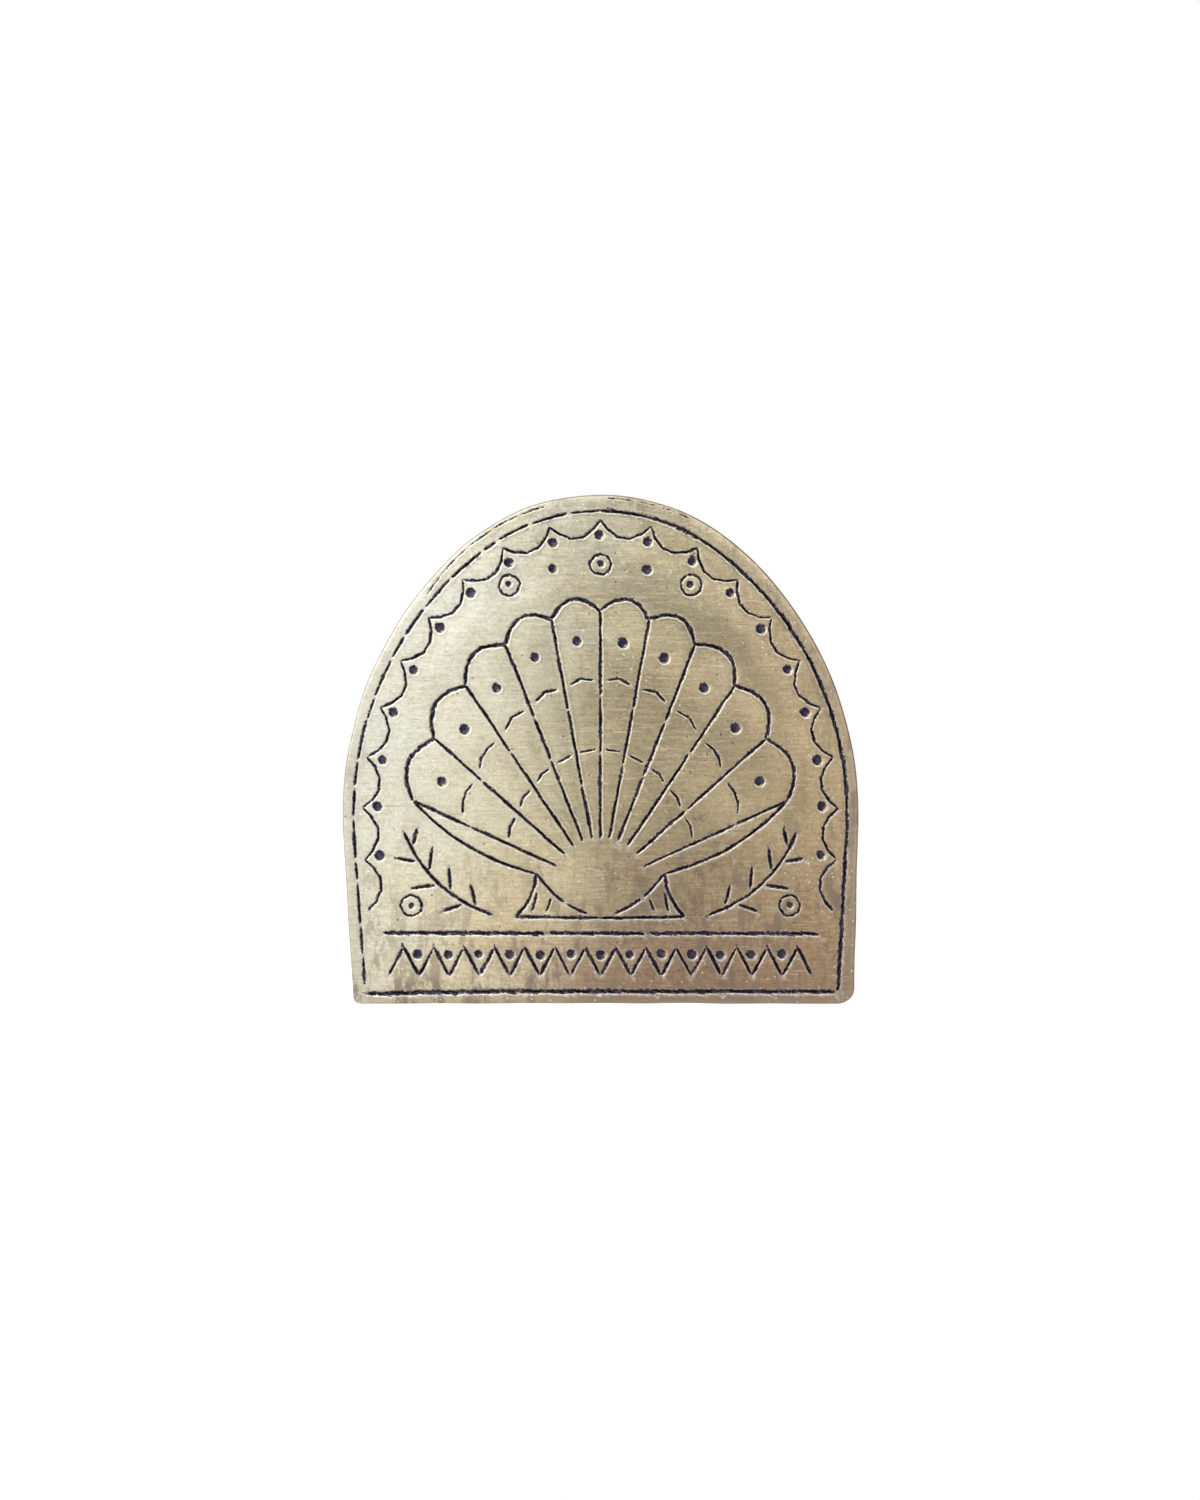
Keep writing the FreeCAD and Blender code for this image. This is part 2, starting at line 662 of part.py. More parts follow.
def build_catch_rotor():
    """The slotted ring that runs in the track and shuts the mouth, with its thumb lever."""
    body = new_body("catch_rotor", x=HALF_SPAN)
    ring = new_sketch(body, "rotor_ring", "XY_Plane")
    half = "(track_length / 2 - lock_side_clearance)"
    rim = "track_radius - lock_running_clearance"
    corners = [("-" + half, "lock_bore_radius"), (half, "lock_bore_radius"), (half, rim), ("-" + half, rim)]
    draw_outline(ring, corners)
    add_turned(body, ring, "H_Axis")
    lever = new_sketch(body, "rotor_lever", "YZ_Plane")
    side = "lever_thickness / 2"
    corners = [
        lever_corner("lever_root_radius", "-" + side), lever_corner("lever_reach", "-" + side),
        lever_corner("lever_reach", side), lever_corner("lever_root_radius", side),
    ]
    draw_outline(lever, corners)
    pad = add_pad(body, lever, "2 * " + half, symmetric=True)
    tip = size("lever_reach")
    length = size("2 * " + half)

    def lever_tip(edge):
        middle = edge.CenterOfMass
        return edge.BoundBox.XLength > length * 0.9 and math.hypot(middle.y, middle.z) > tip * 0.95

    add_softening(body, pad, "lever_rounding", lever_tip)
    slot = new_sketch(body, "rotor_slot", "YZ_Plane")
    far = rim + " + cut_overrun"
    low, high = "-lock_slot_width / 2", "lock_slot_width / 2"
    draw_outline(slot, [("0", low), (far, low), (far, high), ("0", high)])
    add_pocket(body, slot, "track_length + 2 * cut_overrun")
    return body


def check_document():
    """Stops if any object of the document failed to recompute."""
    for thing in document.Objects:
        if "Invalid" in thing.State or "Error" in thing.State:
            raise RuntimeError(thing.Label + " is " + ", ".join(thing.State))


def write_parts(bodies):
    """Writes each sub-part's solid to its own file."""
    os.makedirs("parts", exist_ok=True)
    for body in bodies:
        if body.Shape.isNull() or not body.Shape.isValid() or len(body.Shape.Solids) != 1:
            raise RuntimeError(body.Label + " is not one valid solid")
        body.Shape.exportStep("parts/%s.step" % body.Label)
        print("%-16s %9.3f mm3" % (body.Label, body.Shape.Volume))


fill_sheet()
bodies = [
    build_front_plate(),
    build_patch("hinge_patch", "-"),
    build_patch("catch_patch", ""),
    build_solder_seam("hinge_solder_seam", "-"),
    build_solder_seam("catch_solder_seam", ""),
    build_hinge_bracket(),
    build_hinge_rivet(),
    build_pin_knuckle(),
    build_pin_wire(),
    build_catch_housing(),
    build_catch_rotor(),
]
document.recompute()
check_document()
write_parts(bodies)
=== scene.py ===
import math
import random

import bmesh
import bpy
import numpy as np
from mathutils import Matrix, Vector
from mathutils.geometry import delaunay_2d_cdt


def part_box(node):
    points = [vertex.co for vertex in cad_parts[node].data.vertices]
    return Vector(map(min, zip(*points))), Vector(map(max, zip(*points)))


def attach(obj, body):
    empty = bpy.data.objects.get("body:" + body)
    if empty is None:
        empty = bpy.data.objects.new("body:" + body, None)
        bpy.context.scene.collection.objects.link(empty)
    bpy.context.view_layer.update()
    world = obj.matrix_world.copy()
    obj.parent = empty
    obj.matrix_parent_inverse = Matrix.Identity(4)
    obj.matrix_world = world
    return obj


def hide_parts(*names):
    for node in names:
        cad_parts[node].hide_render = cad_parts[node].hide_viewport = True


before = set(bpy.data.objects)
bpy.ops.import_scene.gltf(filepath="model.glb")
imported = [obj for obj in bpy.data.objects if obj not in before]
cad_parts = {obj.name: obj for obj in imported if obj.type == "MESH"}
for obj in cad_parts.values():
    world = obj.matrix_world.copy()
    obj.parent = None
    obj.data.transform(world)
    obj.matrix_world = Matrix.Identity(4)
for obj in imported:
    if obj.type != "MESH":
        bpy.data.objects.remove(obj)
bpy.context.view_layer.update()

# The brooch is drawn in millimetres: across from its middle and up from its foot. FRONT and BACK
# are where the plate's two faces lie, and NEAR_BACK is where its rim turns into the back.
MM = 0.001
FOOT = -32.0
FRONT, BACK = -3.9, -2.9
NEAR_BACK = BACK - 0.3
FULL_TURN = 2 * math.pi
ANY_START = (0, 6.3)
SMOOTH_BELOW = math.radians(48)
hand = random.Random(7)


# The arch, as the sheet was sawn: the crown's radius, the shoulders' radius and half the width

HEIGHT = 49.3
RIM_ARCH = (20.2, 34.5, 25.0)
BORDER_ARCH = (18.58, 32.0, 23.88)
LEFT_RIM = dict(side=-1, arch=RIM_ARCH, lean=3.77, corner=0.7)
RIGHT_RIM = dict(side=1, arch=RIM_ARCH, lean=1.41, corner=1.65)
LEFT_BORDER = dict(side=-1, arch=BORDER_ARCH, lean=4.07)
RIGHT_BORDER = dict(side=1, arch=BORDER_ARCH, lean=3.13)
CROWN = Vector((0.0, HEIGHT - RIM_ARCH[0]))
MIDDLE = Vector((0, 22))
SPACING, CORNER_SPACING, RING_SPACING = 0.5, 0.17, 0.2
FILED_OFF = 0.03
RIM_ROUND, RIM_STEPS = 0.22, 4


def polar(centre, radius, degrees):
    angle = math.radians(degrees)
    return centre + Vector((math.cos(angle), math.sin(angle))) * radius


def arc(centre, radius, first, last, spacing=SPACING):
    """Points along an arc, between two angles in degrees from the across axis."""
    count = max(2, round(abs(math.radians(last - first)) * radius / spacing))
    return [polar(centre, radius, first + (last - first) * i / count) for i in range(count + 1)]


def half_arch(side, arch, lean, corner=0.0, margin=0.0, foot=0.0):
    """One half of an arch, from the foot up to the crown's top, inside it by a margin. A corner's
    radius rounds the foot off; without one the line starts at the foot's height."""
    crown_radius, shoulder_radius, half_width = arch
    inwards = shoulder_radius - half_width
    rise = math.sqrt((shoulder_radius - crown_radius) ** 2 - inwards ** 2)
    shoulder = Vector((-inwards, CROWN.y - rise))
    join = math.degrees(math.atan2(rise, inwards))
    side_top = polar(shoulder, shoulder_radius - margin, -lean)
    down = Vector((-math.sin(math.radians(lean)), -math.cos(math.radians(lean))))
    if corner:
        outward = polar(Vector((0, 0)), 1, -lean)
        reach = (side_top.y - outward.y * corner - corner) / -down.y
        points = arc(side_top + down * reach - outward * corner, corner, -90, -lean, CORNER_SPACING)
    else:
        reach = (side_top.y - foot) / -down.y
        points = [side_top + down * reach]
    steps = max(2, round(reach / SPACING))
    start = points[-1]
    points += [start.lerp(side_top, i / steps) for i in range(1, steps + 1)]
    points += arc(shoulder, shoulder_radius - margin, -lean, join)[1:]
    points += arc(CROWN, crown_radius - margin, join, 90)[1:]
    return [Vector((point.x * side, point.y)) for point in points]


def wavy(waves, turn):
    """The sum of some waves at a turn, each a height, how many of it go round, and its start."""
    return sum(height * math.sin(number * turn + start) for height, number, start in waves)


def sawn_outline():
    """The whole rim, counter-clockwise from the right foot, with the small wobble of a hand file."""
    right, left = half_arch(**RIGHT_RIM), half_arch(**LEFT_RIM)
    foot_steps = round((right[0].x - left[0].x) / SPACING)
    foot = [left[0].lerp(right[0], i / foot_steps) for i in range(1, foot_steps)]
    rim = right + left[-2::-1] + foot
    waves = [(hand.uniform(0.008, 0.02), hand.randint(3, 23), hand.uniform(*ANY_START)) for _ in range(7)]
    filed = []
    for index, point in enumerate(rim):
        inward = (MIDDLE - point).normalized()
        filed.append(point + inward * (FILED_OFF + wavy(waves, FULL_TURN * index / len(rim))))
    return filed


# The drawing: lines, struck in short straight blows of a liner, and marks of round punches

BLOW, LAP = 1.25, 0.26
UNEVEN_WIDTH, UNEVEN_DEPTH = (0.76, 1.18), (0.68, 1.15)
HAIR_WIDTH, HAIR_DEPTH = 0.17, 0.09
OFF_PLACE = 0.1

# A blow is kept as its two ends, width and depth, and a punch mark as its centre, radius and depth.
blows = []
punches = []


def line_length(points):
    return sum((second - first).length for first, second in zip(points, points[1:]))


def along(points, distance):
    """The place a distance along a line of points."""
    for first, second in zip(points, points[1:]):
        step = (second - first).length
        if distance <= step:
            return first.lerp(second, max(distance, 0) / step)
        distance -= step
    return points[-1]


def slip_beside(start, end, across, width):
    """The thin mark beside a blow that the tool leaves where it slips."""
    slip = across * hand.choice((-1, 1)) * width * hand.uniform(0.3, 0.5)
    first, last = start.lerp(end, hand.uniform(0, 0.4)), start.lerp(end, hand.uniform(0.6, 1.1))
    blows.append((first + slip * 0.5, last + slip, HAIR_WIDTH, HAIR_DEPTH))


def chase(points, width=0.45, depth=0.2, thinning=0.0, dash=None, gap=0.0, stray=0.04, blow=BLOW,
          slant=0.0, hairs=0.0):
    """Works along a line with a liner, in blows that run into each other. Thinning is how much
    narrower the line ends than it starts. With a dash's length, the line breaks up into dashes
    with gaps between them. Stray is how far a blow's ends miss the line, a slant sets each blow
    askew, and hairs is how often the tool slips and leaves a thin mark beside the line."""
    total = line_length(points)
    dashes = max(1, round(total / dash)) if dash else 1
    breaks = [total * (number + hand.uniform(-0.3, 0.3)) / dashes for number in range(1, dashes)]
    for first, last in zip([0.0] + breaks, breaks + [total]):
        first += gap * hand.uniform(0.2, 0.8) if first else 0
        last -= gap * hand.uniform(0.2, 0.8) if last < total else 0
        count = max(1, round((last - first) / blow))
        step = (last - first) / count
        for index in range(count):
            start = along(points, first + step * index - (LAP if index else 0))
            end = along(points, first + step * (index + 1) + (LAP if index < count - 1 else 0))
            across = Vector((start.y - end.y, end.x - start.x)).normalized()
            start = start + across * (slant + hand.uniform(-stray, stray))
            end = end + across * (hand.uniform(-stray, stray) - slant)
            here = width - thinning * (first + step * (index + 0.5)) / total
            here *= hand.uniform(*UNEVEN_WIDTH)
            blows.append((start, end, here, depth * hand.uniform(*UNEVEN_DEPTH)))
            if hand.random() < hairs:
                slip_beside(start, end, across, width)


def punch(across, up, radius=0.5, depth=0.25):
    """Strikes a round dot, a little off its place."""
    place = Vector((across + hand.uniform(-OFF_PLACE, OFF_PLACE), up + hand.uniform(-OFF_PLACE, OFF_PLACE)))
    punches.append((place, radius * hand.uniform(0.9, 1.1), depth * hand.uniform(0.85, 1.1)))


def ring(across, up, radius=1.05):
    """Strikes an eyelet: a small ring with a dot in it."""
    turn = hand.uniform(0, 360)
    round_line = arc(Vector((across, up)), radius, turn, turn + 360, RING_SPACING)
    chase(round_line, width=0.36, depth=0.15, dash=0.55, gap=-0.2, stray=0.03)
    punch(across, up, radius=0.34, depth=0.16)


def bow(first, last, bulge, steps=10):
    """A shallow arc between two places, bulging to its left by a distance."""
    chord = last - first
    left = Vector((-chord.y, chord.x)).normalized()
    shares = [i / steps for i in range(steps + 1)]
    return [first + chord * t + left * bulge * 4 * t * (1 - t) for t in shares]


def draw_border():
    """The border line: loose dashes on the left, and close, heavy blows on the right and the foot,
    with two faint lines nearer to the rim."""
    left = half_arch(**LEFT_BORDER, foot=1.8)
    right = half_arch(**RIGHT_BORDER, foot=1.2)
    foot = [Vector((-22.6, 1.0)), Vector((-8.0, 1.22)), Vector((22.75, 1.2))]
    chase(left, width=0.43, depth=0.18, thinning=0.07, dash=3.3, gap=0.22)
    chase(right, width=0.54, depth=0.2, thinning=0.16, blow=0.9, slant=0.06, hairs=0.25)
    chase(foot, width=0.57, depth=0.22, stray=0.05, blow=0.8, slant=0.07, hairs=0.4)
    chase(arc(CROWN, RIM_ARCH[0] - 0.45, 106, 148), width=0.2, depth=0.07, dash=2.8, gap=0.25)
    chase(arc(CROWN, RIM_ARCH[0] - 0.4, 64, 88), width=0.18, depth=0.05, dash=2.4, gap=0.5)


def draw_festoon():
    """Small hanging arcs inside the border, with a dot between each two."""
    arcs, hang, dot_inset, heart = 10, 1.6, 1.5, Vector((0, 20))
    for border in (LEFT_BORDER, RIGHT_BORDER):
        side = border["side"]
        line = half_arch(**border, margin=0.85, foot=9.0)
        total = line_length(line)
        ends = [along(line, total * i / arcs) for i in range(arcs + 1)]
        for first, last in zip(ends, ends[1:]):
            chase(bow(first, last, hang * side), width=0.36, depth=0.17)
        for end in ends[1:-1] if side < 0 else ends[1:]:
            inward = (heart - end).normalized() * dot_inset
            punch(end.x + inward.x, end.y + inward.y, radius=0.48)


def draw_lobe(root, first, second):
    """A lobe of the scallop between two ribs' ends, with two growth lines and a dot inside it."""
    chase(bow(first, second, 1.7), width=0.49, depth=0.21, blow=0.85, slant=0.065, hairs=0.2)
    for share, bulge in ((0.5, 0.3), (0.75, 0.5)):
        low, high = root.lerp(first, share), root.lerp(second, share)
        chase(bow(low.lerp(high, 0.17), low.lerp(high, 0.83), bulge), width=0.36, depth=0.16)
    middle = root.lerp(first.lerp(second, 0.5), 0.9)
    punch(middle.x, middle.y)


def draw_ear(side, edge):
    """An ear at the scallop's hinge, with two short lines in it and the side that rises from it."""
    ear, tip = Vector((6.2 * side, 12.6)), Vector((8.2 * side, 8.4))
    chase(bow(ear, edge, 1.1 * -side), width=0.44, depth=0.2)
    chase(bow(tip, ear, 0.5 * side))
    chase(bow(Vector((1.3 * side, 8.7)), ear, 0.5 * -side), dash=3.0, gap=0.2)
    chase([Vector((0, 8.3)), tip])
    for reach, height in ((5.2, 1.3), (6.6, 1.9)):
        foot, head = Vector((reach * side, 8.9)), Vector(((reach - 0.45) * side, 8.9 + height))
        chase([foot, head], width=0.36, depth=0.15)


def draw_scallop():
    """A scallop: ribs from its hinge, a lobe between each two ribs, and two ears."""
    root, half_width, height = Vector((0.0, 11.4)), 19.0, 26.6
    ribs, spread, rib_start = 11, 72, 4.6
    ends = []
    for index in range(ribs):
        angle = math.radians(-spread + 2 * spread / (ribs - 1) * index)
        ends.append(root + Vector((half_width * math.sin(angle), height * math.cos(angle))))
    for end in ends:
        chase([root + (end - root).normalized() * rib_start, end], dash=8.0, gap=0.1)
    for first, second in zip(ends, ends[1:]):
        draw_lobe(root, first, second)
    draw_ear(-1, ends[0])
    draw_ear(1, ends[-1])


def draw_band():
    """A zigzag band along the foot, with a dot between each two teeth, under a long line."""
    low, high, pitch, teeth = 2.7, 5.5, 2.93, 14
    for index in range(teeth):
        left = Vector((-20.5 + pitch * index, low))
        top = Vector((left.x + pitch / 2, high))
        right = Vector((left.x + pitch, low))
        chase([left, top.lerp(left, 0.04)])
        chase([top, right.lerp(top, 0.04)])
        if index < teeth - 1:
            punch(right.x, high - 0.75, radius=0.46)
    line = [Vector((-21.0, 6.85)), Vector((21.2, 6.8))]
    chase(line, width=0.5, dash=14.0, gap=0.3, blow=0.85, slant=0.07, hairs=0.3)


# A sprig's leaves: how far up the stem each stands, how far it turns away, and how far it reaches
STEM_LENGTH = 12.0
LEAVES = (
    (0.14, 52, 2.4), (0.24, -48, 2.4), (0.38, 50, 2.7), (0.5, -50, 2.8), (0.62, 48, 2.6),
    (0.74, -46, 2.3), (0.86, 42, 2.1),
)


def draw_sprig(side):
    """A leafy sprig beside the scallop's hinge, with an eyelet under it."""
    stem = bow(Vector((10.4 * side, 8.6)), Vector((19.0 * side, 16.6)), 1.4 * -side)
    chase(stem)
    for share, turn, reach in LEAVES:
        up = STEM_LENGTH * share
        foot = along(stem, up)
        ahead = along(stem, up + 0.6) - along(stem, up - 0.6)
        angle = math.degrees(math.atan2(ahead.y, ahead.x)) + turn * side
        leaf_width = 0.5 * hand.uniform(0.85, 1.1)
        blows.append((polar(foot, 0.4, angle), polar(foot, reach, angle), leaf_width, 0.2))
    ring(18.3 * side, 9.5)


def draw_eyelets():
    """Three eyelets and two dots over the scallop's top."""
    for across, up in ((0.0, 42.5), (-8.8, 40.5), (8.8, 40.5)):
        ring(across, up)
    for across in (-4.5, 4.5):
        punch(across, 42.0)


draw_border()
draw_festoon()
draw_scallop()
draw_band()
draw_sprig(-1)
draw_sprig(1)
draw_eyelets()


# The struck face, and how densely it is covered with places

# A blow pushes a lip of metal up beside it, dishes the sheet and darkens its colour round about. One of
# FULL_DEPTH has a full lip. The blackening is shifted a little up and to the left of the cut, as painted
# shade on the wall that lies in shade, and the lip stands higher, with a painted glint, on the lit lower side
# of each mark. No mark is felt further away than FELT. The whole sheet swells in slow waves, each with its
# height, length, direction and start.
LIP, LIP_WIDTH, LIP_AWAY = 0.021, 0.06, 0.03
DISH, DISH_REACH = 0.055, 1.4
# How far beside a mark its colour is darkened.
DARKENING_REACH = 0.5
FULL_DEPTH = 0.18
FELT = 3
# This shift moves the blackening up and to the left, onto the wall of each cut that lies in shade: painted
# shade over the real blackening.
INK_SHIFT_TO_SHADE = np.array((-0.026, 0.026))
# This points to the lit, lower side of each mark, where the lip stands higher and carries a painted glint.
LIT_SIDE = np.array((0.26, -0.97))
SWELL = [
    (hand.uniform(0.016, 0.03), hand.uniform(8, 17), hand.uniform(0, math.pi), hand.uniform(*ANY_START))
    for _ in range(6)
]
TINY = 1e-6

# Rows of places run along each blow, in half widths from its middle, and rings round each punch
# mark, in radii. A grid covers the rest. The rim and the middle rows are kept whole, and any other
# place is left out where its cell is taken.
ROWS_BESIDE = (0.0, 0.5, -0.5, 1.0, -1.0, 1.4, -1.4, 2.0, -2.0, 3.6, -3.6)
BLOW_SPACING = 0.175
RINGS = (0.0, 0.35, 0.65, 0.85, 1.0, 1.15, 1.35, 1.7, 2.4)
GRID_SIDE, GRID_FOOT, GRID_PITCH = 26, 0.4, 0.75
CELL = 0.075
CLEAR_OF_RIM = 0.1


def full(t):
    """How full a blow is along its length: whole in the middle, and run out at both ends."""
    return np.clip(1 - np.abs(2 * t - 1) ** 3, 0, 1) ** 0.5


def blow_places(start, end, width):
    """Rows of places along one blow, its middle first."""
    run = end - start
    across = Vector((-run.y, run.x)).normalized()
    count = max(5, round(run.length / BLOW_SPACING))
    steps = [(i / count, full(i / count)) for i in range(count + 1)]
    rows = []
    for share in ROWS_BESIDE:
        row = []
        for t, fullness in steps:
            reach = fullness if abs(share) <= 1 else 0.35 + 0.65 * fullness
            row.append(start + run * t + across * (share * width / 2 * reach))
        rows.append(row)
    return rows


def rim_gap(places, rim):
    """How far each place lies inside the rim."""
    nearest = np.full(len(places), np.inf)
    gap = np.zeros(len(places))
    for first, second in zip(rim, rim[1:] + rim[:1]):
        run = np.array(second - first)
        offset = places - np.array(first)
        inside = np.sign(run[0] * offset[:, 1] - run[1] * offset[:, 0])
        away = np.linalg.norm(offset - np.outer(np.clip(offset @ run / (run @ run), 0, 1), run), axis=1)
        gap = np.where(away < nearest, away * inside, gap)
        nearest = np.minimum(nearest, away)
    return gap


def raise_to(values, near, new):
    """Raises the values at the near places to new ones, where these are higher."""
    values[near] = np.maximum(values[near], new)


def groove(offset, ahead, length, width):
    """For places given from a blow's start: how far along it and beside it they lie, how full it
    is there, and how far down its wall, from 0 at the edge to 1 in the middle."""
    t = offset @ ahead / length
    beside = np.abs(offset @ np.array((-ahead[1], ahead[0])))
    fullness = full(t)
    wall = np.clip(1 - beside / (width / 2 * fullness + TINY), 0, 1) * (fullness > 0)
    return t, beside, fullness, wall


def work_blow(face, places, start, end, width, depth):
    """Works one blow of the liner into the face."""
    low, high = np.minimum(start, end) - FELT, np.maximum(start, end) + FELT
    near = np.nonzero(np.all((places > low) & (places < high), axis=1))[0]
    run = np.array(end - start)
    length = np.linalg.norm(run)
    ahead = run / length
    offset = places[near] - np.array(start)
    t, beside, fullness, wall = groove(offset, ahead, length, width)
    # The real blackening in the cut, shifted onto its shaded wall as painted shade.
    shaded_stain = groove(offset - INK_SHIFT_TO_SHADE, ahead, length, width)[3]
    away = np.hypot(beside, np.maximum(np.maximum(-t, t - 1), 0) * length)
    toward_light = (offset - np.outer(np.clip(t, 0, 1) * length, ahead)) @ LIT_SIDE / (away + TINY)
    share = min(depth / FULL_DEPTH, 1.2)
    burr = share * np.exp(-((away - width / 2 - LIP_AWAY) / LIP_WIDTH) ** 2)
    raise_to(face["cut"], near, depth * fullness * wall ** 1.3)
    raise_to(face["lip"], near, burr * (0.62 + 0.38 * toward_light))
    # The glint is a painted highlight on the lit side of the lip.
    raise_to(face["glint"], near, burr ** 1.4 * np.clip(0.25 + 0.85 * toward_light, 0.05, 1.1))
    raise_to(face["black"], near, shaded_stain * min(share * 2, 1))
    raise_to(face["dish"], near, DISH * min(share, 1) * np.exp(-(away / DISH_REACH) ** 2))
    # The colour is darkened close beside the blow.
    raise_to(face["darkened_beside"], near, share * np.exp(-(away / DARKENING_REACH) ** 2))


def work_punch(face, places, centre, radius, depth):
    """Works one round dot into the face."""
    offset = places - np.array(centre)
    away = np.linalg.norm(offset, axis=1)
    near = np.nonzero(away < FELT)[0]
    offset, away = offset[near], away[near]
    # The real blackening in the dot, shifted onto its shaded side as painted shade.
    shaded_stain = np.linalg.norm(offset - 3.2 * INK_SHIFT_TO_SHADE, axis=1)
    toward_light = offset @ LIT_SIDE / (away + TINY)
    burr = 1.2 * np.exp(-((away - radius - 2 * LIP_AWAY) / (1.3 * LIP_WIDTH)) ** 2)
    raise_to(face["cut"], near, depth * np.clip(1 - (away / radius) ** 2, 0, 1))
    raise_to(face["lip"], near, burr * (0.62 + 0.38 * toward_light))
    # A painted highlight on the lit side of the dot's lip.
    raise_to(face["glint"], near, burr * np.clip(0.45 + 0.75 * toward_light, 0.1, 1.2))
    raise_to(face["black"], near, 2.4 * np.clip(1.06 - shaded_stain / radius, 0, 1))
    raise_to(face["dish"], near, DISH * 0.6 * np.exp(-away ** 2))
    # The colour is darkened close round the dot.
    raise_to(face["darkened_beside"], near, np.exp(-(away / (1.5 * DARKENING_REACH)) ** 2))


def struck_relief(places, gap):
    """How far each place stands out of the face, how blackened it is, how darkened beside the marks, and how
    bright its painted glint is.
    """
    face = {name: np.zeros(len(places)) for name in ("cut", "lip", "glint", "dish", "black", "darkened_beside")}
    for blow in blows:
        work_blow(face, places, *blow)
    for mark in punches:
        work_punch(face, places, *mark)
    swell = np.zeros(len(places))
    for height, length, way, shift in SWELL:
        ahead = np.array((math.cos(way), math.sin(way)))
        swell += height * (np.sin(places @ ahead * FULL_TURN / length + shift) - 1)
    bare = np.clip(1 - face["cut"] / 0.03, 0, 1)
    lip, glint = face["lip"] * bare, face["glint"] * bare
    dished, swollen = face["dish"] * np.clip(gap / 3, 0, 1), swell * np.clip(gap / 7, 0, 1) ** 1.5
    proud = LIP * lip - face["cut"] - dished + swollen
    return proud * np.clip(gap / 0.3, 0, 1), np.clip(face["black"], 0, 1), face["darkened_beside"], np.clip(glint, 0, 1)


def cell_of(place):
    return round(place.x / CELL), round(place.y / CELL)


def struck_places(rim):
    """Every place that the face's skin passes through, and the edges that it has to keep."""
    places = [point.copy() for point in rim]
    edges = [(i, (i + 1) % len(rim)) for i in range(len(rim))]
    loose = []
    for start, end, width, _ in blows:
        rows = blow_places(start, end, width)
        first = len(places)
        places.extend(rows[0])
        edges.extend((first + i, first + i + 1) for i in range(len(rows[0]) - 1))
        loose += [place for row in rows[1:] for place in row]
    for centre, radius, _ in punches:
        for share in RINGS:
            reach = radius * share
            loose += arc(centre, reach + 0.001, 0, 344, reach * 0.36 + 0.02)
    for row in range(round(HEIGHT / GRID_PITCH)):
        for column in range(round(2 * GRID_SIDE / GRID_PITCH) + 1):
            across = -GRID_SIDE + column * GRID_PITCH + row % 2 * GRID_PITCH / 2
            loose.append(Vector((across, GRID_FOOT + row * GRID_PITCH)))
    taken = {cell_of(place) for place in places}
    for place, gap in zip(loose, rim_gap(np.array([tuple(place) for place in loose]), rim)):
        if gap > CLEAR_OF_RIM and cell_of(place) not in taken:
            taken.add(cell_of(place))
            places.append(place)
    return places, edges


def saw_plate():
    """Saws the arch from sheet and rounds its rims over."""
    outline = sawn_outline()
    bpy.ops.object.select_all(action="DESELECT")
    bpy.ops.mesh.primitive_circle_add(vertices=len(outline), radius=RIM_ARCH[2] * MM, fill_type="NGON")
    plate = bpy.context.object
    plate.name = "chased_plate"
    for vertex, point in zip(plate.data.vertices, outline):
        vertex.co = (point.x * MM, FRONT * MM, (point.y + FOOT) * MM)
    bpy.ops.object.mode_set(mode="EDIT")
    bpy.ops.mesh.select_all(action="SELECT")
    bpy.ops.mesh.extrude_region_move(TRANSFORM_OT_translate={"value": (0, (BACK - FRONT) * MM, 0)})
    bpy.ops.mesh.select_all(action="SELECT")
    bpy.ops.mesh.normals_make_consistent(inside=False)
    bpy.ops.mesh.select_all(action="DESELECT")
    bpy.ops.mesh.select_mode(type="FACE")
    bpy.ops.object.mode_set(mode="OBJECT")
    for face in plate.data.polygons:
        face.select = abs(face.normal.y) > 0.9
    bpy.ops.object.mode_set(mode="EDIT")
    bpy.ops.mesh.region_to_loop()
    bpy.ops.mesh.bevel(offset=RIM_ROUND * MM, segments=RIM_STEPS, affect="EDGES")
    bpy.ops.object.mode_set(mode="OBJECT")
    return plate


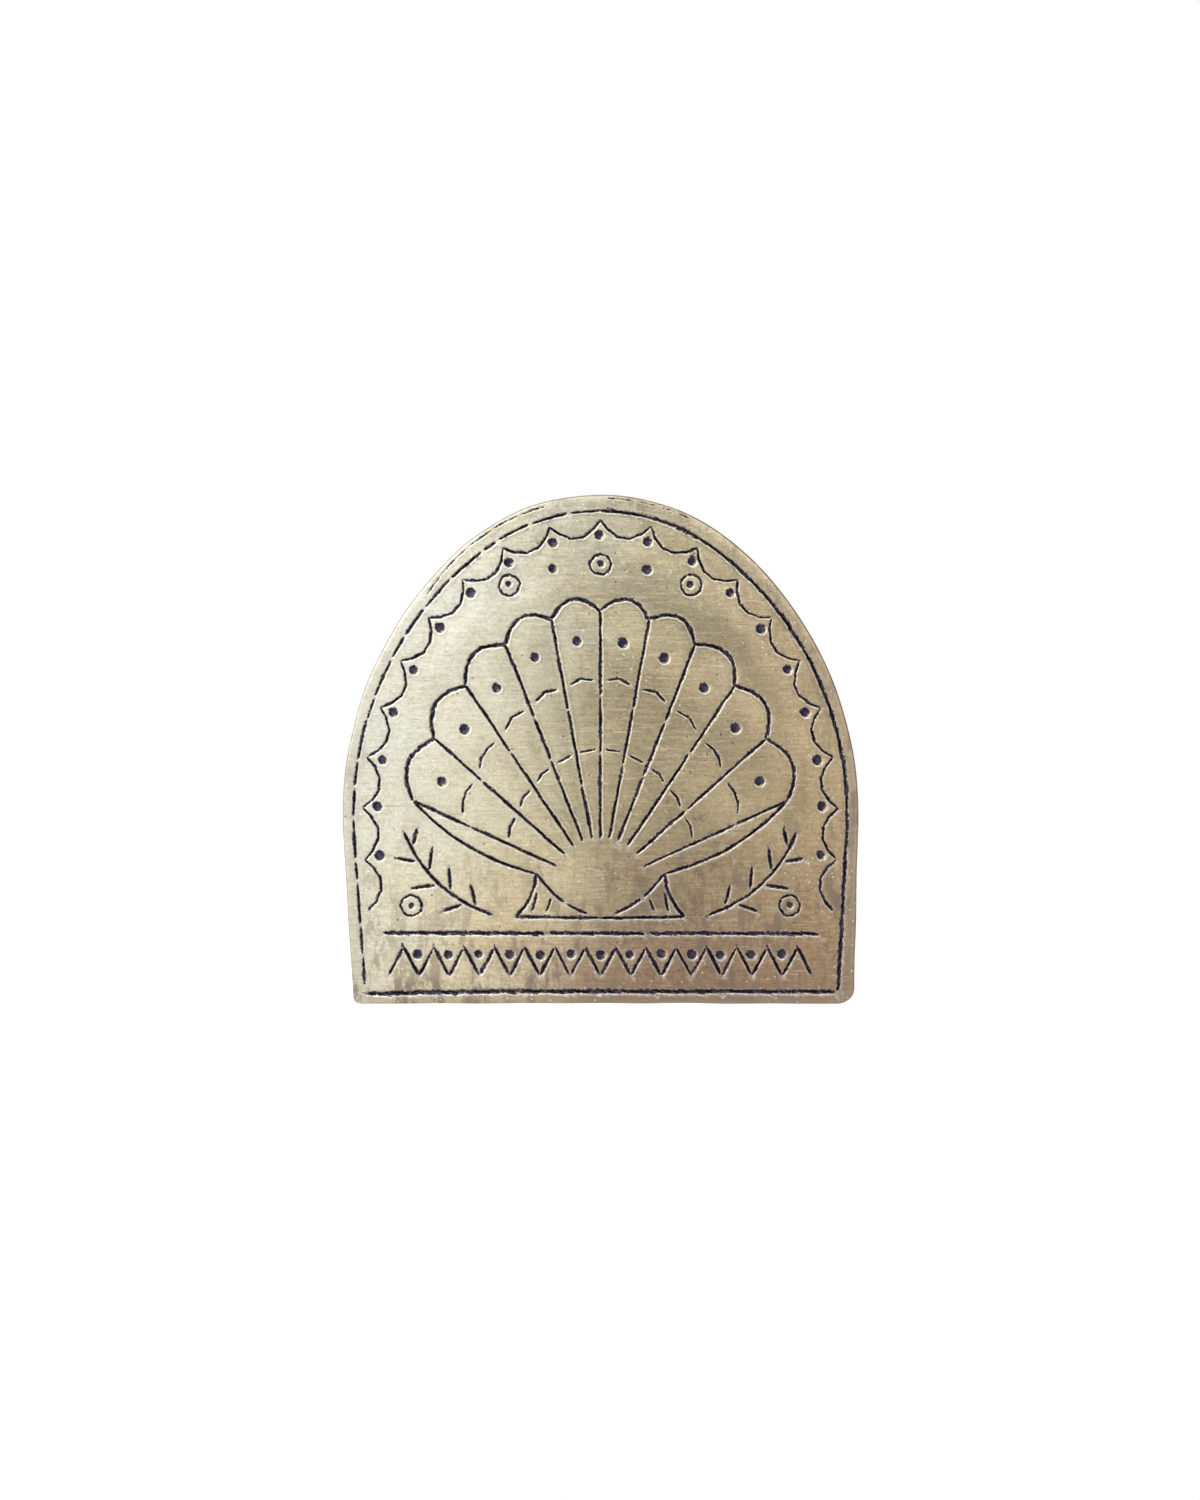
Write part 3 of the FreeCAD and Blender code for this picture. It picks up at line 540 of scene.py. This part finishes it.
def lay_face(plate):
    """Lays the struck face in the plate's front, from rim to rim. The attribute struck says how
    black each place is, how darkened beside the marks, how near the rim, and how bright its painted glint is."""
    skin = bmesh.new()
    skin.from_mesh(plate.data)
    struck = skin.verts.layers.float_color.new("struck")
    for vert in skin.verts:
        vert[struck] = (0.0, 0.0, 1.0 if vert.co.y < NEAR_BACK * MM else 0.2, 0.0)

    # The flat front is the one face that has the whole rim's corners and lies before the back.
    front = min(skin.faces, key=lambda face: face.calc_center_median().y - len(face.verts))
    corners = [loop.vert for loop in front.loops]
    skin.faces.remove(front)
    rim = [Vector((corner.co.x / MM, corner.co.z / MM - FOOT)) for corner in corners]
    if rim[1].x * rim[0].y > rim[0].x * rim[1].y:
        corners.reverse()
        rim.reverse()

    places, edges = struck_places(rim)
    found, _, triangles, sources, _, _ = delaunay_2d_cdt(places, edges, [], 1, 1e-4)
    spots = np.array([tuple(place) for place in found])
    gap = rim_gap(spots, rim)
    proud, black, darkened_beside, glint = struck_relief(spots, gap)
    margin = np.exp(-np.maximum(gap, 0) ** 2)
    on_rim = {}
    for index, origin in enumerate(sources):
        on_rim.update({index: corners[source] for source in origin if source < len(rim)})
    verts = []
    for index, (x, up) in enumerate(spots):
        place = (x * MM, (FRONT - proud[index]) * MM, (up + FOOT) * MM)
        vert = on_rim.get(index) or skin.verts.new(place)
        vert[struck] = (black[index], darkened_beside[index], margin[index], glint[index])
        verts.append(vert)
    for triangle in triangles:
        if len(set(triangle)) == 3:
            skin.faces.new([verts[index] for index in triangle])
    bmesh.ops.recalc_face_normals(skin, faces=skin.faces)
    skin.to_mesh(plate.data)
    skin.free()


def chase_plate():
    """The plate, sawn from sheet and chased."""
    plate = saw_plate()
    lay_face(plate)
    bpy.ops.object.shade_smooth_by_angle(angle=SMOOTH_BELOW)
    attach(plate, "brooch")
    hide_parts("front_plate")
    return plate


# The solder, which ran out and up round each patch unevenly

# Its section is part straight and part hollow, between the plate's back and the patch's wall,
# which has a bevel at its top.
SEAM_WIDTH, SEAM_HEIGHT, SEAM_TOP = 0.74, 0.5, 0.57
SEAM_STEPS, SEAM_TURNS = 10, 180
STRAIGHT, HOLLOW = 0.45, 0.55
PATCH_RADIUS, PATCH_BEVEL_FROM = 3.0, 0.48
INTO_PATCH, DEEP_INTO_PATCH = 0.01, 0.03
pool = random.Random(5)


def uneven(size, least, most_waves):
    """A smooth wobble round a turn, of six waves."""
    waves = []
    for _ in range(6):
        height = pool.uniform(0.5, 1) * size / 6
        waves.append((height, pool.randint(least, most_waves), pool.uniform(*ANY_START)))
    return lambda turn: wavy(waves, turn)


def run_solder(patch, seam):
    """The hollow seam round a patch, from the plate's back up to the patch's bevel."""
    low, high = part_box(patch)
    across, up = (low[0] + high[0]) / 2, (low[2] + high[2]) / 2
    rows = SEAM_STEPS + 4
    bpy.ops.object.select_all(action="DESELECT")
    bpy.ops.mesh.primitive_torus_add(
        major_segments=SEAM_TURNS, minor_segments=rows, major_radius=PATCH_RADIUS * MM, minor_radius=0.3 * MM,
    )
    solder = bpy.context.object
    solder.name = seam.replace("seam", "run")
    reach, climb = uneven(0.46, 1, 5), uneven(0.24, 1, 6)
    lump, ripple = uneven(0.14, 2, 9), uneven(0.06, 7, 19)
    for index, vertex in enumerate(solder.data.vertices):
        turn, row = FULL_TURN * (index // rows) / SEAM_TURNS, index % rows
        width = SEAM_WIDTH + reach(turn) + 0.7 * ripple(turn)
        height = min(SEAM_HEIGHT + climb(turn), SEAM_TOP)
        share = min(row / SEAM_STEPS, 1.0)
        quarter = math.radians(90 * share)
        rise = height * (STRAIGHT * share + HOLLOW * (1 - math.cos(quarter)))
        out = width * (1 - STRAIGHT * share - HOLLOW * math.sin(quarter))
        rise += (lump(turn) + ripple(turn + share)) * math.sin(math.pi * share)
        wall = PATCH_RADIUS - INTO_PATCH - max(0.0, rise - PATCH_BEVEL_FROM)

        # The last rows run back under the solder, down the patch's wall and out along the plate.
        if row > SEAM_STEPS:
            wall = PATCH_RADIUS - DEEP_INTO_PATCH
            out = 0.0 if row < rows - 1 else width / 2
            rise = rise / 2 if row == SEAM_STEPS + 1 else 0.0
        radius = (wall + out) * MM
        depth = (BACK + max(rise, 0.0)) * MM
        vertex.co = (across + radius * math.cos(turn), depth, up + radius * math.sin(turn))
    bpy.ops.object.mode_set(mode="EDIT")
    bpy.ops.mesh.select_all(action="SELECT")
    bpy.ops.mesh.normals_make_consistent(inside=False)
    bpy.ops.object.mode_set(mode="OBJECT")
    bpy.ops.object.shade_smooth_by_angle(angle=SMOOTH_BELOW)
    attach(solder, "brooch")
    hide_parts(seam)
    return solder


# Nodes. Colours are red, green and blue.

WHITE = (1.0, 1.0, 1.0)
PAPER = (0.8, 0.8, 0.8)


def opaque(colour):
    return (*colour, 1.0)


def new_finish(name):
    """A bare material, ready for nodes."""
    finish = bpy.data.materials.new(name)
    finish.use_nodes = True
    finish.node_tree.nodes.clear()
    return finish, finish.node_tree


def put(tree, kind, sockets=None, **settings):
    """Adds a node. A socket gets a plain value, or a link from another node's output."""
    node = tree.nodes.new("ShaderNode" + kind)
    for name, value in settings.items():
        setattr(node, name, value)
    for name, value in (sockets or {}).items():
        if isinstance(value, bpy.types.NodeSocket):
            tree.links.new(value, node.inputs[name])
        else:
            node.inputs[name].default_value = value
    return node


def work_out(tree, operation, first, second, clamp=False):
    """Works out one sum of two numbers or links."""
    return put(tree, "Math", {0: first, 1: second}, operation=operation, use_clamp=clamp).outputs[0]


def times(tree, first, second, clamp=False):
    return work_out(tree, "MULTIPLY", first, second, clamp)


def plus(tree, first, second, clamp=False):
    return work_out(tree, "ADD", first, second, clamp)


def minus(tree, first, second, clamp=False):
    return work_out(tree, "SUBTRACT", first, second, clamp)


def most(tree, first, second):
    return work_out(tree, "MAXIMUM", first, second)


def fade(tree, source, first, last):
    """Rises evenly from 0 at the first value to 1 at the last."""
    return put(tree, "MapRange", {0: source, 1: first, 2: last}).outputs[0]


def ramp(tree, source, *stops):
    """Turns a number into colours between stops, each a place and a colour or a grey."""
    node = put(tree, "ValToRGB", {"Fac": source})
    elements = node.color_ramp.elements
    for index, (place, colour) in enumerate(stops):
        element = elements[index] if index < 2 else elements.new(place)
        element.position = place
        element.color = opaque(colour if isinstance(colour, tuple) else (colour, colour, colour))
    return node.outputs["Color"]


def layered(tree, amount, under, over, mode="MIX"):
    """Lays one colour over another by an amount."""
    over = opaque(over) if isinstance(over, tuple) else over
    return put(tree, "Mix", {0: amount, 6: under, 7: over}, data_type="RGBA", blend_type=mode).outputs[2]


def on_object(tree):
    return put(tree, "TexCoord").outputs["Object"]


def noise(tree, stretch, shift, detail=3.0, roughness=0.55, turn=0.0):
    """Noise on the object's own coordinates. stretch is how often it changes in a millimetre,
    each way, after the coordinates are turned in the plate's plane."""
    place = on_object(tree)
    if turn:
        rotation = (0.0, math.radians(turn), 0.0)
        place = put(tree, "Mapping", {"Vector": place, "Rotation": rotation}).outputs[0]
    location = (shift, shift * 0.7, shift * 1.3)
    scale = [count / MM for count in stretch]
    mapped = put(tree, "Mapping", {"Vector": place, "Location": location, "Scale": scale}).outputs[0]
    sockets = {"Vector": mapped, "Scale": 1.0, "Detail": detail, "Roughness": roughness}
    return put(tree, "TexNoise", sockets).outputs["Fac"]


def scratches(tree, stretch, shift, sparse, strength=0.4, turn=0.0):
    """Thin scratches one way along the sheet, where a stretched noise passes a height."""
    line = noise(tree, stretch, shift, detail=2.0, roughness=0.6, turn=turn)
    return ramp(tree, line, (sparse, 0.0), (sparse + 0.05, strength))


def specks(tree, per_mm, shift, size, chance):
    """Small round specks at scattered points. size is where a speck starts and ends to fade, and
    chance is a ramp's two stops, which pick the points that have one."""
    sockets = {"Vector": on_object(tree), "Location": [shift] * 3, "Scale": [per_mm / MM] * 3}
    mapped = put(tree, "Mapping", sockets).outputs[0]
    points = put(tree, "TexVoronoi", {"Vector": mapped, "Scale": 1.0, "Randomness": 1.0}).outputs
    speck = ramp(tree, points["Distance"], (size[0], 1.0), (size[1], 0.0))
    return times(tree, speck, ramp(tree, points["Color"], *chance))


def bumped(tree, height, distance, strength, under=None):
    """A bump of some height in millimetres, on another bump if there is one."""
    sockets = {"Height": height, "Distance": distance * MM, "Strength": strength}
    if under is not None:
        sockets["Normal"] = under
    return put(tree, "Bump", sockets).outputs[0]


def finish_metal(tree, colour, rough, normal):
    sockets = {"Base Color": colour, "Metallic": 1.0, "Roughness": rough, "Normal": normal}
    shader = put(tree, "BsdfPrincipled", sockets)
    put(tree, "OutputMaterial", {"Surface": shader.outputs[0]})


# The plate's finish, built up in layers

# The sheet's tones, pale and grey at the upper left and brown at the lower right: the sheet's own tarnish,
# with a painted sheen where the lamps light it most and painted shade where they light it least.
SHEEN_AND_TARNISH_TONES = (
    (0.0, (0.61, 0.60, 0.51)), (0.2, (0.60, 0.56, 0.425)), (0.42, (0.57, 0.49, 0.315)),
    (0.7, (0.57, 0.45, 0.275)), (1.0, (0.57, 0.43, 0.25)),
)
SHEET_SPAN = 44 * MM
# This tint darkens the sheet towards its foot: painted shade, together with tarnish.
FOOT_SHADE_TINT = (0.59, 0.47, 0.50)
DARK_SCRATCH, PALE_SCRATCH = (0.24, 0.19, 0.14), (0.86, 0.80, 0.68)
SANDED = (0.36, 0.29, 0.19)
FIRE_SCALE = ((0.5, (0.24, 0.20, 0.18)), (0.63, (0.40, 0.22, 0.17)), (0.8, (0.47, 0.31, 0.16)))
FIRE_REACH = 11 * MM
FILED = ((0.35, (0.27, 0.21, 0.13)), (0.65, (0.40, 0.325, 0.21)))
SMUDGE, RIM_TARNISH = (0.26, 0.20, 0.15), (0.34, 0.285, 0.22)
PIT, SPARK = (0.16, 0.125, 0.10), (0.95, 0.91, 0.84)
# The first darkens the colour close beside the marks; the second is the pale metal of each burr, laid on as a
# painted glint on its lit side.
DARKER_BESIDE_MARKS, BURR_WITH_PAINTED_GLINT = (0.33, 0.27, 0.21), (0.92, 0.89, 0.85)
BLACKING = ((0.42, (0.03, 0.028, 0.055)), (0.74, (0.10, 0.085, 0.115)))


def sheet_tone(tree, place, clouds):
    """The bare sheet, paler towards the upper left as a painted sheen, and browner towards the lower right
    and darker towards the foot as painted shade, each partly the sheet's own tarnish. Also given are how far
    along that gradient each place lies, and how near the foot."""
    across = times(tree, place["X"], 0.85 / SHEET_SPAN)
    down = times(tree, place["Z"], -0.4 / SHEET_SPAN)
    sheen_drift = plus(tree, plus(tree, across, down), 0.39)
    sheen_drift = plus(tree, sheen_drift, times(tree, minus(tree, clouds, 0.5), 0.45))
    low = fade(tree, place["Z"], -10 * MM, FOOT * MM)
    # Darker towards the foot: painted shade, together with tarnish.
    foot_shade = work_out(tree, "POWER", times(tree, low, fade(tree, sheen_drift, 0.3, 0.6)), 1.6)
    colour = layered(tree, foot_shade, ramp(tree, sheen_drift, *SHEEN_AND_TARNISH_TONES), FOOT_SHADE_TINT, "MULTIPLY")
    return colour, sheen_drift, low


def brushed(tree, colour):
    """The brushed grain along the sheet, with the mottle and dust in it. Also given are the
    grain's fine lines, its long lines and the two together."""
    fine = noise(tree, (0.5, 4.0, 7.5), shift=0.4, detail=4.0, roughness=0.75)
    long = noise(tree, (0.12, 2.0, 4.0), shift=8.2, detail=5.0, roughness=0.7)
    grain = plus(tree, times(tree, fine, 0.6), times(tree, long, 0.4))
    mottle = noise(tree, (1.5, 1.5, 2.4), shift=7.7, detail=5.0, roughness=0.72)
    dust = noise(tree, (4.5, 4.5, 4.5), shift=3.9, detail=3.0, roughness=0.6)
    for amount, pattern, darker, paler in (
        (0.5, grain, (0.34, 0.32), (0.66, 0.66)),
        (0.55, mottle, (0.3, 0.33), (0.7, 0.63)),
        (0.45, dust, (0.3, 0.3), (0.7, 0.7)),
    ):
        colour = layered(tree, amount, colour, ramp(tree, pattern, darker, (0.5, 0.5), paler), "OVERLAY")
    return colour, fine, long, grain


def worn_back(tree, colour, behind, clouds):
    """Sanding marks across the back, and fire scale round each soldered patch."""
    sanded = most(
        tree,
        scratches(tree, (0.2, 2.0, 7.0), shift=4.4, sparse=0.6, turn=-31.0),
        scratches(tree, (0.25, 2.0, 8.0), shift=7.3, sparse=0.64, turn=-49.0),
    )
    colour = layered(tree, times(tree, sanded, behind), colour, SANDED)
    for patch in ("hinge_patch", "catch_patch"):
        middle = [(first + second) / 2 for first, second in zip(*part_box(patch))]
        ends = {0: on_object(tree), 1: middle}
        reach = put(tree, "VectorMath", ends, operation="DISTANCE").outputs["Value"]
        reach = plus(tree, work_out(tree, "DIVIDE", reach, FIRE_REACH), times(tree, clouds, 0.5))
        scale = ramp(tree, reach, (0.5, 0.9), (0.62, 0.7), (0.74, 0.4), (1.0, 0.0))
        colour = layered(tree, times(tree, scale, behind), colour, ramp(tree, reach, *FIRE_SCALE))
    return colour


def smudged(tree, colour, margin, sheen_drift, low, behind):
    """Smudges, most of them along the rim, the foot and the right side, and the tarnished rim."""
    wide_margin = work_out(tree, "POWER", margin, 0.3)
    spread = plus(tree, times(tree, low, 1.1), times(tree, wide_margin, 0.8))
    spread = times(tree, spread, plus(tree, sheen_drift, 0.35, clamp=True), clamp=True)
    spread = times(tree, spread, minus(tree, 1.0, times(tree, behind, 0.82)))
    smudge = noise(tree, (0.8, 0.6, 0.32), shift=5.5, detail=6.0, roughness=0.7)
    smudge = times(tree, ramp(tree, smudge, (0.5, 0.0), (0.59, 1.0)), spread)
    colour = layered(tree, smudge, colour, SMUDGE)
    edge = times(tree, margin, plus(tree, times(tree, sheen_drift, 0.3), 0.22))
    return layered(tree, edge, colour, RIM_TARNISH)


def blackened(tree, colour, struck, wear, sheen_drift):
    """Darker colour beside each blow, a painted glint on the lit side of its lip, fainter where the
    sheet is paler, and the blackening in it, worn through here and there. Also given is how black each place
    is."""
    black, darkened_beside, glint = struck
    # The colour is darkened in patches close beside each mark.
    colour = layered(tree, times(tree, darkened_beside, ramp(tree, wear, (0.38, 0.0), (0.7, 0.55))), colour, DARKER_BESIDE_MARKS)
    # A painted highlight on the lit lip beside each mark, fainter where the sheet's painted sheen is already
    # bright.
    bright = times(tree, glint, ramp(tree, wear, (0.42, 0.75), (0.62, 0.08)))
    bright = times(tree, bright, ramp(tree, sheen_drift, (0.0, 0.35), (0.5, 1.0)))
    colour = layered(tree, bright, colour, BURR_WITH_PAINTED_GLINT)
    broken = times(tree, minus(tree, wear, 0.5), 4.3)
    ink = ramp(tree, minus(tree, black, broken, clamp=True), (0.22, 0.0), (0.4, 1.0))
    ink = times(tree, ink, ramp(tree, black, (0.02, 0.0), (0.14, 1.0)))
    blacking = ramp(tree, noise(tree, (2.4, 2.4, 2.4), shift=4.6, detail=4.0), *BLACKING)
    return layered(tree, ink, colour, blacking), ink


def chased_brass():
    """Satin sheet brass with a painted sheen towards its upper left and painted shade towards its lower right
    and foot, with the struck lines blackened and a painted glint beside them.
    """
    finish, tree = new_finish("chased_satin_brass")
    struck = put(tree, "Attribute", attribute_name="struck").outputs
    black, darkened_beside, margin = put(tree, "SeparateColor", {"Color": struck["Color"]}).outputs[:3]
    place = put(tree, "SeparateXYZ", {"Vector": on_object(tree)}).outputs
    behind = fade(tree, place["Y"], NEAR_BACK * MM, (BACK - 0.1) * MM)
    wall = fade(tree, place["Y"], (FRONT + 0.24) * MM, (FRONT + 0.34) * MM)
    wall = times(tree, wall, minus(tree, 1.0, behind))
    clouds = noise(tree, (0.11, 0.11, 0.16), shift=3.1, detail=4.0)
    wear = noise(tree, (3.4, 3.4, 3.4), shift=2.2, detail=5.0, roughness=0.78)

    # The sheet's tone carries a painted sheen at the upper left and painted shade towards the lower right and
    # the foot.
    colour, sheen_drift, low = sheet_tone(tree, place, clouds)
    colour, fine, long, grain = brushed(tree, colour)
    dark_lines = most(
        tree,
        scratches(tree, (0.3, 2.0, 9.0), shift=1.9, sparse=0.63, strength=0.45),
        scratches(tree, (0.4, 2.0, 9.0), shift=5.1, sparse=0.68, turn=38.0),
    )
    pale_lines = most(
        tree,
        scratches(tree, (0.3, 2.0, 9.0), shift=6.7, sparse=0.64),
        scratches(tree, (0.5, 2.0, 9.0), shift=2.9, sparse=0.68, turn=-52.0),
    )
    colour = layered(tree, dark_lines, colour, DARK_SCRATCH)
    colour = layered(tree, pale_lines, colour, PALE_SCRATCH)
    colour = worn_back(tree, colour, behind, clouds)

    # The sawn and filed edge of the sheet is duller and browner than its faces.
    filed = ramp(tree, noise(tree, (1.5, 9.0, 1.5), shift=6.6, detail=4.0, roughness=0.7), *FILED)
    colour = layered(tree, times(tree, wall, 0.85), colour, filed)
    colour = smudged(tree, colour, margin, sheen_drift, low, behind)
    pit = specks(tree, 0.8, shift=1.7, size=(0.05, 0.12), chance=((0.58, 0.0), (0.7, 0.9)))
    spark = specks(tree, 1.4, shift=6.3, size=(0.06, 0.13), chance=((0.4, 0.0), (0.55, 0.9)))
    colour = layered(tree, pit, colour, PIT)
    colour = layered(tree, spark, colour, SPARK)
    colour, ink = blackened(tree, colour, (black, darkened_beside, struck["Alpha"]), wear, sheen_drift)

    rough = plus(tree, times(tree, grain, 0.2), 0.22)
    rough = plus(tree, rough, times(tree, most(tree, ink, wall), 0.15))
    marks = minus(tree, most(tree, spark, pale_lines), most(tree, pit, dark_lines))
    pitted = times(tree, wear, minus(tree, 1.0, times(tree, behind, 0.75)))
    normal = bumped(tree, fine, distance=0.006, strength=0.5)
    normal = bumped(tree, long, distance=0.012, strength=0.28, under=normal)
    normal = bumped(tree, marks, distance=0.015, strength=0.5, under=normal)
    normal = bumped(tree, pitted, distance=0.03, strength=0.4, under=normal)
    finish_metal(tree, colour, rough, normal)
    return finish


# The fastening's finishes

GRIME = (0.12, 0.10, 0.09)


def turned_metal(name, pale, deep, tarnish, stretch, roughness, lumps=0.02):
    """A drawn, turned or cast metal: two tones, a grain along the work, tarnish in patches, fine
    scratches and pits. lumps is how high its unevenness is, in millimetres."""
    finish, tree = new_finish(name)
    clouds = noise(tree, (0.7, 0.7, 0.7), shift=1.3, detail=4.0)
    grain = noise(tree, stretch, shift=4.4, roughness=0.7)
    patch = noise(tree, (1.3, 1.3, 1.3), shift=9.1, detail=5.0, roughness=0.65)
    patch = ramp(tree, patch, (0.52, 0.0), (0.75, 0.75))
    lines = most(
        tree,
        scratches(tree, (0.7, 6.0, 12.0), shift=2.7, sparse=0.58, strength=0.6, turn=17.0),
        scratches(tree, (0.8, 7.0, 13.0), shift=6.1, sparse=0.6, strength=0.6, turn=-64.0),
    )
    pit = specks(tree, 1.6, shift=3.3, size=(0.05, 0.13), chance=((0.5, 0.0), (0.55, 0.8)))

    colour = ramp(tree, clouds, (0.3, pale), (0.7, deep))
    colour = layered(tree, 0.3, colour, ramp(tree, grain, (0.3, 0.33), (0.7, 0.67)), "OVERLAY")
    colour = layered(tree, patch, colour, tarnish)
    colour = layered(tree, times(tree, lines, 0.55), colour, tarnish)
    colour = layered(tree, pit, colour, GRIME)
    rough = plus(tree, times(tree, grain, 0.18), roughness)
    rough = plus(tree, rough, times(tree, patch, 0.15))
    normal = bumped(tree, grain, distance=0.004, strength=0.4)
    normal = bumped(tree, patch, distance=0.01, strength=0.25, under=normal)
    normal = bumped(tree, minus(tree, 1.0, lines), distance=0.01, strength=0.4, under=normal)
    normal = bumped(tree, clouds, distance=lumps, strength=0.6, under=normal)
    finish_metal(tree, colour, rough, normal)
    return finish


def dress_findings():
    """Runs the solder round the patches, and gives each part of the fastening its metal."""
    brass = turned_metal(
        "finding_brass", pale=(0.72, 0.55, 0.28), deep=(0.60, 0.43, 0.20), tarnish=(0.33, 0.22, 0.12),
        stretch=(1.0, 5.0, 5.0), roughness=0.17,
    )
    steel = turned_metal(
        "pin_steel", pale=(0.62, 0.62, 0.63), deep=(0.52, 0.52, 0.54), tarnish=(0.33, 0.31, 0.30),
        stretch=(0.5, 12.0, 12.0), roughness=0.16,
    )
    solder = turned_metal(
        "silver_solder", pale=(0.60, 0.57, 0.50), deep=(0.44, 0.40, 0.33), tarnish=(0.24, 0.19, 0.14),
        stretch=(2.5, 2.5, 2.5), roughness=0.3, lumps=0.15,
    )
    for end in ("hinge", "catch"):
        run_solder(end + "_patch", end + "_solder_seam").data.materials.append(solder)
    for name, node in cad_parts.items():
        if name == "front_plate" or name.endswith("_seam"):
            continue
        for slot in node.material_slots:
            slot.material = steel if name == "pin_wire" else brass


# Studio: a white table and backdrop, in metres, soft boxes in front, a dim room and the camera

TABLE_FRONT, FADED_FROM, FADED_TO = -0.12, -0.1, -0.035
PAPER_SIDE, PAPER_BACK = 1.5, 1.2

# Each soft box: its left and right sides, its lower and upper edges, how far ahead of the plate it
# stands, all in millimetres, its strength, and by how many degrees it is tilted to the right
SOFT_BOXES = {
    "left_box": (-150, -12.5, -46, 90, 38, 1.03, -12),
    "high_left_box": (-150, -13, -3, 90, 38.5, 0.34, -12),
    "top_box": (-90, 44, 16, 120, 70, 1.1, 0),
    "right_box": (17, 120, -31, 70, 80, 0.94, 0),
}

CAMERA_PLACE = (-0.05 * MM, (FRONT - 600) * MM, -7.44 * MM)
SENSOR, LENS = 36.0, 148.9


def rays(tree):
    """Whether a ray comes straight from the camera, and whether it is mirrored or let through."""
    path = put(tree, "LightPath").outputs
    return path["Is Camera Ray"], most(tree, path["Is Glossy Ray"], path["Is Transmission Ray"])


def white_finish(name, faded=False):
    """Plain paper that shows as white, and as white in the metal. The table keeps a soft
    shadow, and its front fades out, so that no edge shows."""
    finish, tree = new_finish(name)
    seen_straight, mirrored = rays(tree)
    paper = put(tree, "BsdfDiffuse", {"Color": opaque(PAPER)}).outputs[0]
    glow = put(tree, "Emission", {"Color": opaque(WHITE), "Strength": 1.0}).outputs[0]
    seen = glow
    if faded:
        faint = put(tree, "Emission", {"Color": opaque(WHITE), "Strength": 0.78}).outputs[0]
        seen = put(tree, "AddShader", {0: faint, 1: paper}).outputs[0]
    surface = put(tree, "MixShader", {0: mirrored, 1: paper, 2: glow}).outputs[0]
    surface = put(tree, "MixShader", {0: seen_straight, 1: surface, 2: seen}).outputs[0]
    if faded:
        depth = put(tree, "SeparateXYZ", {"Vector": on_object(tree)}).outputs["Y"]
        clear = put(tree, "BsdfTransparent").outputs[0]
        edge = fade(tree, depth, FADED_FROM, FADED_TO)
        surface = put(tree, "MixShader", {0: edge, 1: clear, 2: surface}).outputs[0]
    put(tree, "OutputMaterial", {"Surface": surface})
    return finish


def lay_paper(name, corners, finish):
    """A flat sheet of paper between four corners."""
    bpy.ops.object.select_all(action="DESELECT")
    bpy.ops.mesh.primitive_plane_add(size=1)
    sheet = bpy.context.object
    sheet.name = name
    for vertex, corner in zip(sheet.data.vertices, corners):
        vertex.co = corner
    sheet.data.materials.append(finish)


def soft_box(name, left, right, low, high, ahead, strength, tilt):
    """A soft box that faces the plate and isn't seen itself."""
    lamp = bpy.data.lights.new(name, "AREA")
    lamp.shape = "RECTANGLE"
    lamp.size, lamp.size_y = (right - left) * MM, (high - low) * MM
    lamp.energy = strength * math.pi * lamp.size * lamp.size_y
    holder = bpy.data.objects.new(name, lamp)
    bpy.context.scene.collection.objects.link(holder)
    holder.location = ((left + right) / 2 * MM, (FRONT - ahead) * MM, (low + high) / 2 * MM)
    holder.rotation_euler = (math.pi / 2, math.radians(tilt), 0)
    holder.visible_camera = False


def light_room():
    """A dim room, brighter overhead and to the left. It is white to the camera and, in the metal,
    behind the brooch."""
    world = bpy.data.worlds.new("studio")
    world.use_nodes = True
    bpy.context.scene.world = world
    tree = world.node_tree
    way = put(tree, "SeparateXYZ", {"Vector": put(tree, "TexCoord").outputs["Generated"]}).outputs
    light = plus(tree, minus(tree, times(tree, way["Z"], 0.3), times(tree, way["X"], 0.3)), 0.5)
    room = ramp(tree, light, (0.1, (0.20, 0.19, 0.18)), (0.5, 0.17), (0.9, (0.76, 0.77, 0.78)))
    seen_straight, mirrored = rays(tree)
    white = most(tree, seen_straight, times(tree, mirrored, fade(tree, way["Y"], 0.1, 0.4)))
    background = tree.nodes["Background"].inputs
    background["Strength"].default_value = 1.0
    tree.links.new(layered(tree, white, room, WHITE), background["Color"])


def build_studio():
    """The table and the backdrop, the soft boxes and the room."""
    sides = (-PAPER_SIDE, PAPER_SIDE)
    table = [(across, depth, FOOT * MM) for depth in (TABLE_FRONT, PAPER_BACK) for across in sides]
    backdrop = [(across, PAPER_BACK, height) for height in sides for across in sides]
    lay_paper("table", table, white_finish("table_paper", faded=True))
    lay_paper("backdrop", backdrop, white_finish("backdrop_paper"))
    for name, box in SOFT_BOXES.items():
        soft_box(name, *box)
    light_room()


def place_camera():
    """Square to the plate, 0.6 m in front of it, with the photograph's frame."""
    camera = bpy.data.cameras.new("camera")
    camera.sensor_fit = "AUTO"
    camera.sensor_width = SENSOR
    camera.lens = LENS
    camera.clip_start, camera.clip_end = 0.01, 10.0
    holder = bpy.data.objects.new("camera", camera)
    bpy.context.scene.collection.objects.link(holder)
    holder.location = CAMERA_PLACE
    holder.rotation_euler = (math.pi / 2, 0, 0)
    bpy.context.scene.camera = holder


plate = chase_plate()
plate.data.materials.append(chased_brass())
dress_findings()
build_studio()
place_camera()
bpy.context.scene.view_settings.view_transform = "Standard"
